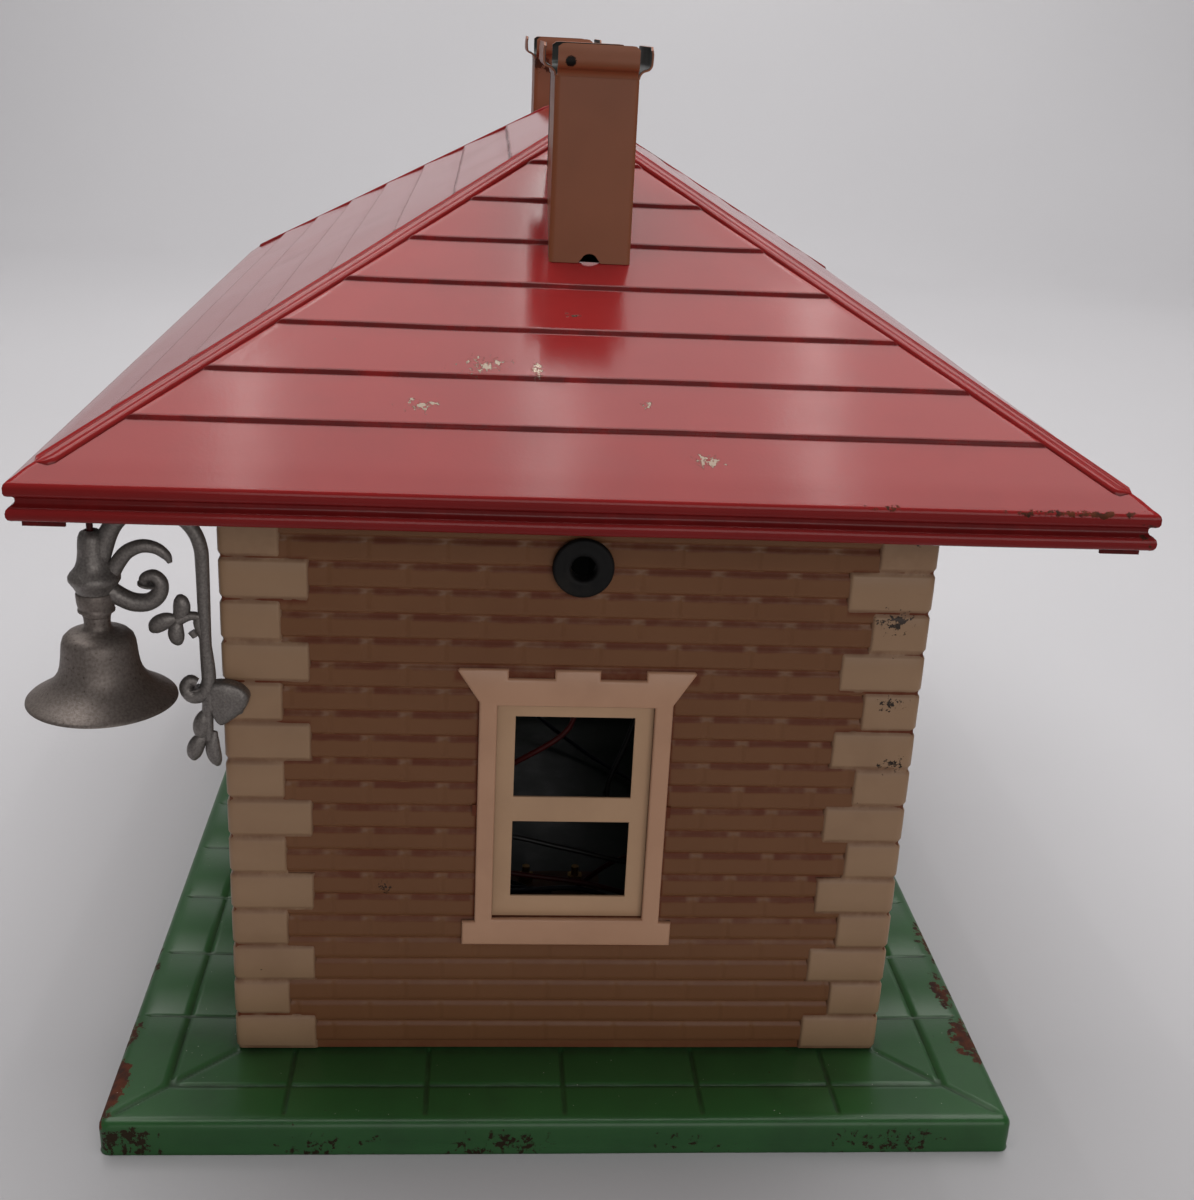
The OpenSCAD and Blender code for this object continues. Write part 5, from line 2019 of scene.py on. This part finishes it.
# ---------- studio ----------
@dataclass
class Studio:
    """Pale sweep, soft overhead light with three tubes, and the camera."""

    camera_at: Point = (493.0, -25.0, 273.0)
    yaw: float = 0.0812
    pitch: float = -0.3542
    roll: float = 0.0511
    focal: float = 1537.8
    frame_height: float = 1200.0
    sensor: float = 36.0
    backdrop: float = -1.35
    front_edge: float = 3.0
    width: float = 3.2
    bend: float = 0.7
    height: float = 2.6

    def camera(self) -> None:
        """Places the camera before the end with the grommet."""
        cy, sy = cos(self.yaw), sin(self.yaw)
        cp, sp = cos(self.pitch), sin(self.pitch)
        cr, sr = cos(self.roll), sin(self.roll)
        ahead = Vector((-cp * cy, cp * sy, sp))
        right = Vector((sy, cy, 0.0))
        up = Vector((sp * cy, -sp * sy, cp))
        rolled_right = cr * right + sr * up
        rolled_up = cr * up - sr * right
        turn = Matrix((rolled_right, rolled_up, -ahead)).transposed()
        data = bpy.data.cameras.new("camera")
        data.lens = self.focal * self.sensor / self.frame_height
        data.sensor_width = self.sensor
        data.clip_start, data.clip_end = 0.01, 20.0
        camera = bpy.data.objects.new("camera", data)
        camera.matrix_world = Matrix.Translation(Vector(self.camera_at) * MM) @ turn.to_4x4()
        link(camera)
        bpy.context.scene.camera = camera

    def sweep(self) -> None:
        """Builds the floor that curves up into the backdrop."""
        line = [(self.front_edge, 0.0), (self.backdrop, 0.0)]
        centre = (self.backdrop, self.bend)
        line += [(centre[0] + self.bend * cos(a), centre[1] + self.bend * sin(a))
                 for a in np.radians(np.linspace(-95, -180, 18))]
        line.append((self.backdrop - self.bend, self.height))
        rows = np.array([[(x, y, z) for y in np.linspace(-self.width, self.width, 5)] for x, z in line])
        mesh = bpy.data.meshes.new("sweep")
        n, m = rows.shape[:2]
        faces = [(i * m + j, i * m + j + 1, (i + 1) * m + j + 1, (i + 1) * m + j) for i in range(n - 1)
                 for j in range(m - 1)]
        mesh.from_pydata(rows.reshape(-1, 3).tolist(), [], faces)
        mesh.polygons.foreach_set("use_smooth", [True] * len(mesh.polygons))
        g, shader = start_material("sweep_paper", {"Roughness": 0.55})
        place = g.place()
        cloud = g.noise(place, 420.0, 2.0, 0.4)
        split = g.node("ShaderNodeSeparateXYZ")
        g.feed(split.inputs[0], place)
        # Painted shade: the floor darkens from 100 to 460 mm towards +X, in front of the house, standing in
        # for the overhead light's fall-off.
        shade = g.step(split.outputs["X"], 100.0, 460.0)
        paper = g.mix(cloud, linear(176, 175, 178), linear(184, 183, 186))
        g.feed(shader.inputs["Base Color"], g.mix(shade, paper, linear(126, 123, 123)))
        add_bump(g, shader, g.noise(place, 3.0, 3.0), 0.05)
        mesh.materials.append(g.owner)
        floor = bpy.data.objects.new("sweep", mesh)
        link(floor)

    def area(self, name: str, at: Point, size: Flat, power: float, aim: Point = (0.0, 0.0, 0.0)) -> None:
        """Adds one rectangular light.

        Args:
            name: its name.
            at: its place in metres.
            size: its width and height in metres.
            power: its power in watts.
            aim: point that it faces.
        """
        data = bpy.data.lights.new(name, "AREA")
        data.shape = "RECTANGLE"
        data.size, data.size_y = size
        data.energy = power
        data.color = (1.0, 0.985, 0.97)
        light = bpy.data.objects.new(name, data)
        light.location = at
        light.rotation_mode = "QUATERNION"
        light.rotation_quaternion = (Vector(at) - Vector(aim)).to_track_quat("Z", "Y")
        link(light)

    def lights(self) -> None:
        """Adds the tubes, the ceiling glow and the weak fill from the room."""
        for k, y in enumerate((-0.266, 0.04, 0.323)):
            self.area(f"tube_{k}", (-0.15, y, 1.38), (0.9, 0.018), 0.7, (-0.15, y, 0.0))
        self.area("ceiling", (-0.24, 0.0, 1.45), (1.5, 1.7), 30.0, (-0.24, 0.0, 0.0))
        self.area("room", (1.7, 0.35, 0.6), (1.5, 0.8), 7.5, (0.0, 0.0, 0.15))
        self.area("backdrop", (-1.2, 0.45, 1.35), (2.6, 0.4), 14.0, (-2.0, 0.45, 0.25))
        world = bpy.data.worlds.new("studio")
        bpy.context.scene.world = world
        world.use_nodes = True
        g = Graph(world.node_tree)
        world.node_tree.nodes.clear()
        glow = g.node("ShaderNodeBackground")
        glow.inputs["Color"].default_value = (0.5, 0.5, 0.51, 1.0)
        glow.inputs["Strength"].default_value = 0.2
        seen = g.node("ShaderNodeBackground")
        seen.inputs["Color"].default_value = (0.52, 0.515, 0.53, 1.0)
        seen.inputs["Strength"].default_value = 1.0
        mixer = g.node("ShaderNodeMixShader")
        g.feed(mixer.inputs[0], g.node("ShaderNodeLightPath").outputs["Is Camera Ray"])
        g.feed(mixer.inputs[1], glow.outputs[0])
        g.feed(mixer.inputs[2], seen.outputs[0])
        g.feed(g.node("ShaderNodeOutputWorld").inputs["Surface"], mixer.outputs[0])

    def build(self) -> None:
        """Sets the stage."""
        self.camera()
        self.sweep()
        self.lights()
        bpy.context.scene.view_settings.view_transform = "Standard"


# ---------- the whole station ----------
def spots(*rows: tuple[float, ...]) -> tuple[Spot, ...]:
    """Spots from rows of centre, reach, fleck size and amount."""
    return tuple(Spot(row[:3], row[3:6], *row[6:]) for row in rows)


ROOF_SCRAPES = spots(
    (142, -25, 199.5, 7, 12, 6, 1.6, 0.4), (143, -13, 199, 6, 2, 6, 1.4, 0.5),
    (154, -40, 192.5, 6, 9, 5, 1.5, 0.36), (152, 12, 193.5, 3, 3, 3, 1.2, 0.4),
    (166.6, 24.5, 185, 4, 6, 4, 1.4, 0.44), (126.5, -4, 209, 3, 5, 3, 1.3, 0.36),
    (142, 99, 200, 3, 4, 4, 1.4, 0.45), (152, 112, 194, 3, 4, 4, 1.4, 0.45))
ROOF_RUST_AND_HIP_DARKENING = spots(
    # The first two spots make the upper far back hip dark brown and rough; the last three are rust along the
    # eaves.
    (-69, 13, 243, 15, 7, 9, 4.0, 0.5), (-88, 33, 232, 15, 9, 9, 4.0, 0.5),
    (177, 106, 178.4, 3, 26, 1.6, 2.0, 0.46), (177, 62, 178.4, 3, 12, 1.4, 2.0, 0.4),
    (177, 123, 174, 4, 4, 8, 2.0, 0.42))
TRAY_SCRAPES = spots(
    (171, -112, 4, 5, 16, 9, 3.0, 0.5), (171, -62, 3, 4, 30, 8, 2.6, 0.36),
    (171, -18, 3, 4, 24, 8, 2.6, 0.42), (171, 34, 3, 4, 30, 8, 2.6, 0.35),
    (171, 84, 4, 4, 30, 8, 2.6, 0.4))
TRAY_RUST = spots(
    (156, -118, 9, 22, 7, 9, 4.0, 0.6), (132, -118, 9, 12, 6, 9, 3.0, 0.48),
    (100, -119, 9, 24, 5, 9, 3.0, 0.44), (-60, -119, 8, 70, 5, 9, 3.0, 0.36),
    (136, 115, 9, 16, 6, 9, 3.4, 0.56), (112, 115, 9, 14, 5, 9, 3.0, 0.5),
    (84, 117, 9, 26, 5, 9, 3.0, 0.42))
BLOCK_SCRAPES = spots(
    (141, 79, 138, 4, 9, 6, 1.5, 0.46), (141, 80, 116, 4, 8, 5, 1.3, 0.42),
    (141, 82, 98, 4, 8, 5, 1.3, 0.4))


class Palette:
    """Every finish of the station."""

    def __init__(self) -> None:
        """Makes the materials."""
        # The red's darkening colour (66, 14, 14) is also the dark red painted shade of the laps, the fascia
        # groove and the ribs' edges.
        self.red = Enamel(
            "red_enamel", (136, 34, 34), (126, 28, 29), rough=0.13, level=0.21, chips=0.2, chip_size=1.1,
            recess=0.8, blotch=0.1, dirt_and_shade=(66, 14, 14), bump=0.012, bare=(104, 92, 82),
            bare_and_shadow_spots=ROOF_SCRAPES, rust_spots=ROOF_RUST_AND_HIP_DARKENING).build()
        self.green = Enamel(
            "green_enamel", (44, 90, 46), (36, 78, 40), rough=0.3, level=0.36, chips=0.34, recess=0.6,
            blotch=0.3, dust=0.35, dirt_and_shade=(28, 34, 24), bare=(52, 42, 28), inner=(24, 34, 26),
            bare_and_shadow_spots=TRAY_SCRAPES, rust_spots=TRAY_RUST).build()
        # The brick's darkening colour (100, 42, 22) is also the reddish colour of the painted eave reflection
        # on the brick tops.
        self.brick = Enamel(
            "brick_enamel", (127, 86, 58), (118, 78, 52), rough=0.36, level=0.22, recess=0.9, blotch=0.08,
            chips=0.07, dirt_and_shade=(100, 42, 22), bump=0.008,
            bare_and_shadow_spots=spots((140, -48, 60, 3, 3, 4, 1.0, 0.44))).build()
        self.block = Enamel(
            "corner_enamel", (170, 137, 108), (158, 125, 98), rough=0.38, level=0.25, recess=0.85,
            blotch=0.14, chips=0.3, chip_size=1.2, dirt_and_shade=(98, 58, 40), bump=0.01,
            bare_and_shadow_spots=BLOCK_SCRAPES).build()
        self.cream = Enamel(
            "cream_enamel", (207, 160, 130), (194, 147, 117), rough=0.36, level=0.4, recess=0.7,
            blotch=0.16, chips=0.24, chip_size=1.1, dirt_and_shade=(112, 70, 50), bump=0.01).build()
        self.sash = Enamel(
            "sash_enamel", (204, 165, 131), (190, 152, 120), rough=0.4, level=0.4, recess=0.3,
            blotch=0.12, chips=0.22, dirt_and_shade=(112, 80, 58), bump=0.01).build()
        self.tan = Enamel(
            "tan_enamel", (143, 86, 57), (131, 76, 48), rough=0.42, level=0.33, recess=0.3, blotch=0.2,
            chips=0.14, dirt_and_shade=(80, 50, 36), bump=0.01, bare=(26, 22, 20),
            # A near-black dot at the left end of chimney A's front lip: painted shadow of the lip's open end.
            bare_and_shadow_spots=spots((113, -6.6, 266, 1.6, 1.6, 1.6, 0.2, 0.9)),
            rust_spots=spots((-76, -7.5, 261, 4, 6, 5, 2.0, 0.5))).build()
        self.door = Enamel("door_enamel", (92, 40, 34), (76, 32, 28), rough=0.36, recess=0.6, chips=0.12,
                           dirt_and_shade=(30, 18, 16)).build()
        self.casting = Metal("cast_metal", (140, 134, 130), (104, 98, 95), amount=0.8, size=0.6, rough=0.46,
                             metallic=0.65, grain=0.35, bump=0.07, stains=0.45).build()
        self.plated = Metal("dull_plate", (138, 128, 122), (106, 96, 90), amount=0.8, size=0.7, rough=0.5,
                            metallic=0.62, grain=0.35, bump=0.05, stains=0.45).build()
        self.brass = Metal("brass", (190, 150, 80), (120, 90, 50), 0.5, 3.0, 0.3, 0.95).build()
        self.steel = Metal("steel", (150, 150, 150), (96, 92, 88), 0.6, 4.0, 0.4, 0.95).build()
        self.rubber = Moulded("rubber", (9, 8, 8), (16, 14, 14), 0.62).build()
        self.fibre = Moulded("fibre_board", (92, 58, 38), (72, 44, 30), 0.6, 0.8).build()
        self.black_wire = Moulded("black_insulation", (16, 15, 15), (26, 24, 24), 0.4).build()
        self.red_wire = Moulded("red_insulation", (74, 16, 14), (58, 14, 14), 0.4).build()
        self.blue_wire = Moulded("blue_insulation", (20, 22, 34), (16, 16, 22), 0.4).build()
        self.glass = BulbGlass().build()


def dress(node: str, finish: Material) -> None:
    """Gives a carried-over CAD node its finish."""
    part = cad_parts[node]
    part.data.materials.clear()
    part.data.materials.append(finish)
    LOG.info("%s: exact piece kept, finish %s", node, finish.name)


def main() -> None:
    """Builds the station in order and reports each piece."""
    logging.basicConfig(level=logging.INFO, format="%(message)s")
    colours = Palette()
    wall = Extent.of("wall_end_a").hi.x
    long_wall = Extent.of("wall_back").hi.y
    faces = {"end_a": Face(0, wall), "back": Face(1, long_wall), "end_b": Face(2, wall),
             "front": Face(3, long_wall)}
    BaseTray(colours.green).build()
    door_hole = (-22.0, 22.0, 12.0, 104.0)
    window_half, window_low, window_high = 19.9, 51.5, 113.3
    grommet_seat = (0.0, Extent.of("grommet").mid.z, 5.4)
    for name, face in faces.items():
        end = name.startswith("end")
        holes = [] if end else [door_hole]
        for x in (0.0,) if end else (-84.0, 84.0):
            holes.append((x - window_half, x + window_half, window_low, window_high))
        half = long_wall - 0.1 if end else wall - 1.7
        seat = grommet_seat if name == "end_a" else None
        BrickWall(f"wall_{name}", face, half, holes, colours.brick, seat).build()
    for end, sx in (("a", 1), ("b", -1)):
        for side, sy in (("front", -1), ("back", 1)):
            CornerBlocks(f"quoin_{end}_{side}", sx, sy, colours.block).build()
    for tag in ("end_a", "end_b", "front_1", "front_2", "back_1", "back_2"):
        face = faces[tag if tag in faces else tag.split("_")[0]]
        Window(tag, face, colours.cream, colours.sash).build()
    for side in ("front", "back"):
        Doorway(side, faces[side], colours.cream, colours.door, colours.brass).build()
    Grommet(colours.rubber).build()
    roof = Roof(colours.red)
    roof.build()
    for end, sx in (("a", 1), ("b", -1)):
        Chimney(f"chimney_{end}", sx, roof, colours.tan).build()
        CornerLamp(end, sx, colours.casting, colours.plated, colours.brass, colours.glass).build()
    room = Extent.of("room_lamp_bulb")
    build_bulb(Vector((0.0, 0.0, room.lo.z)), room.hi.z - room.lo.z, 7.0, 3.55, "room_lamp_bulb",
               "room_pip_bulb", colours.glass, colours.brass)
    Wiring({"room_wire": colours.black_wire, "lamp_wire_a": colours.red_wire,
            "lamp_wire_b": colours.blue_wire}).build()
    for node, finish in (("casing_clips", colours.brick), ("door_pins", colours.steel),
                         ("eave_tabs", colours.red), ("bracket_screws", colours.steel),
                         ("room_lamp_bracket", colours.steel), ("room_lamp_socket", colours.brass),
                         ("terminal_strip", colours.fibre), ("terminal_nuts", colours.brass)):
        dress(node, finish)
    Studio().build()


if __name__ == "__main__":
    main()
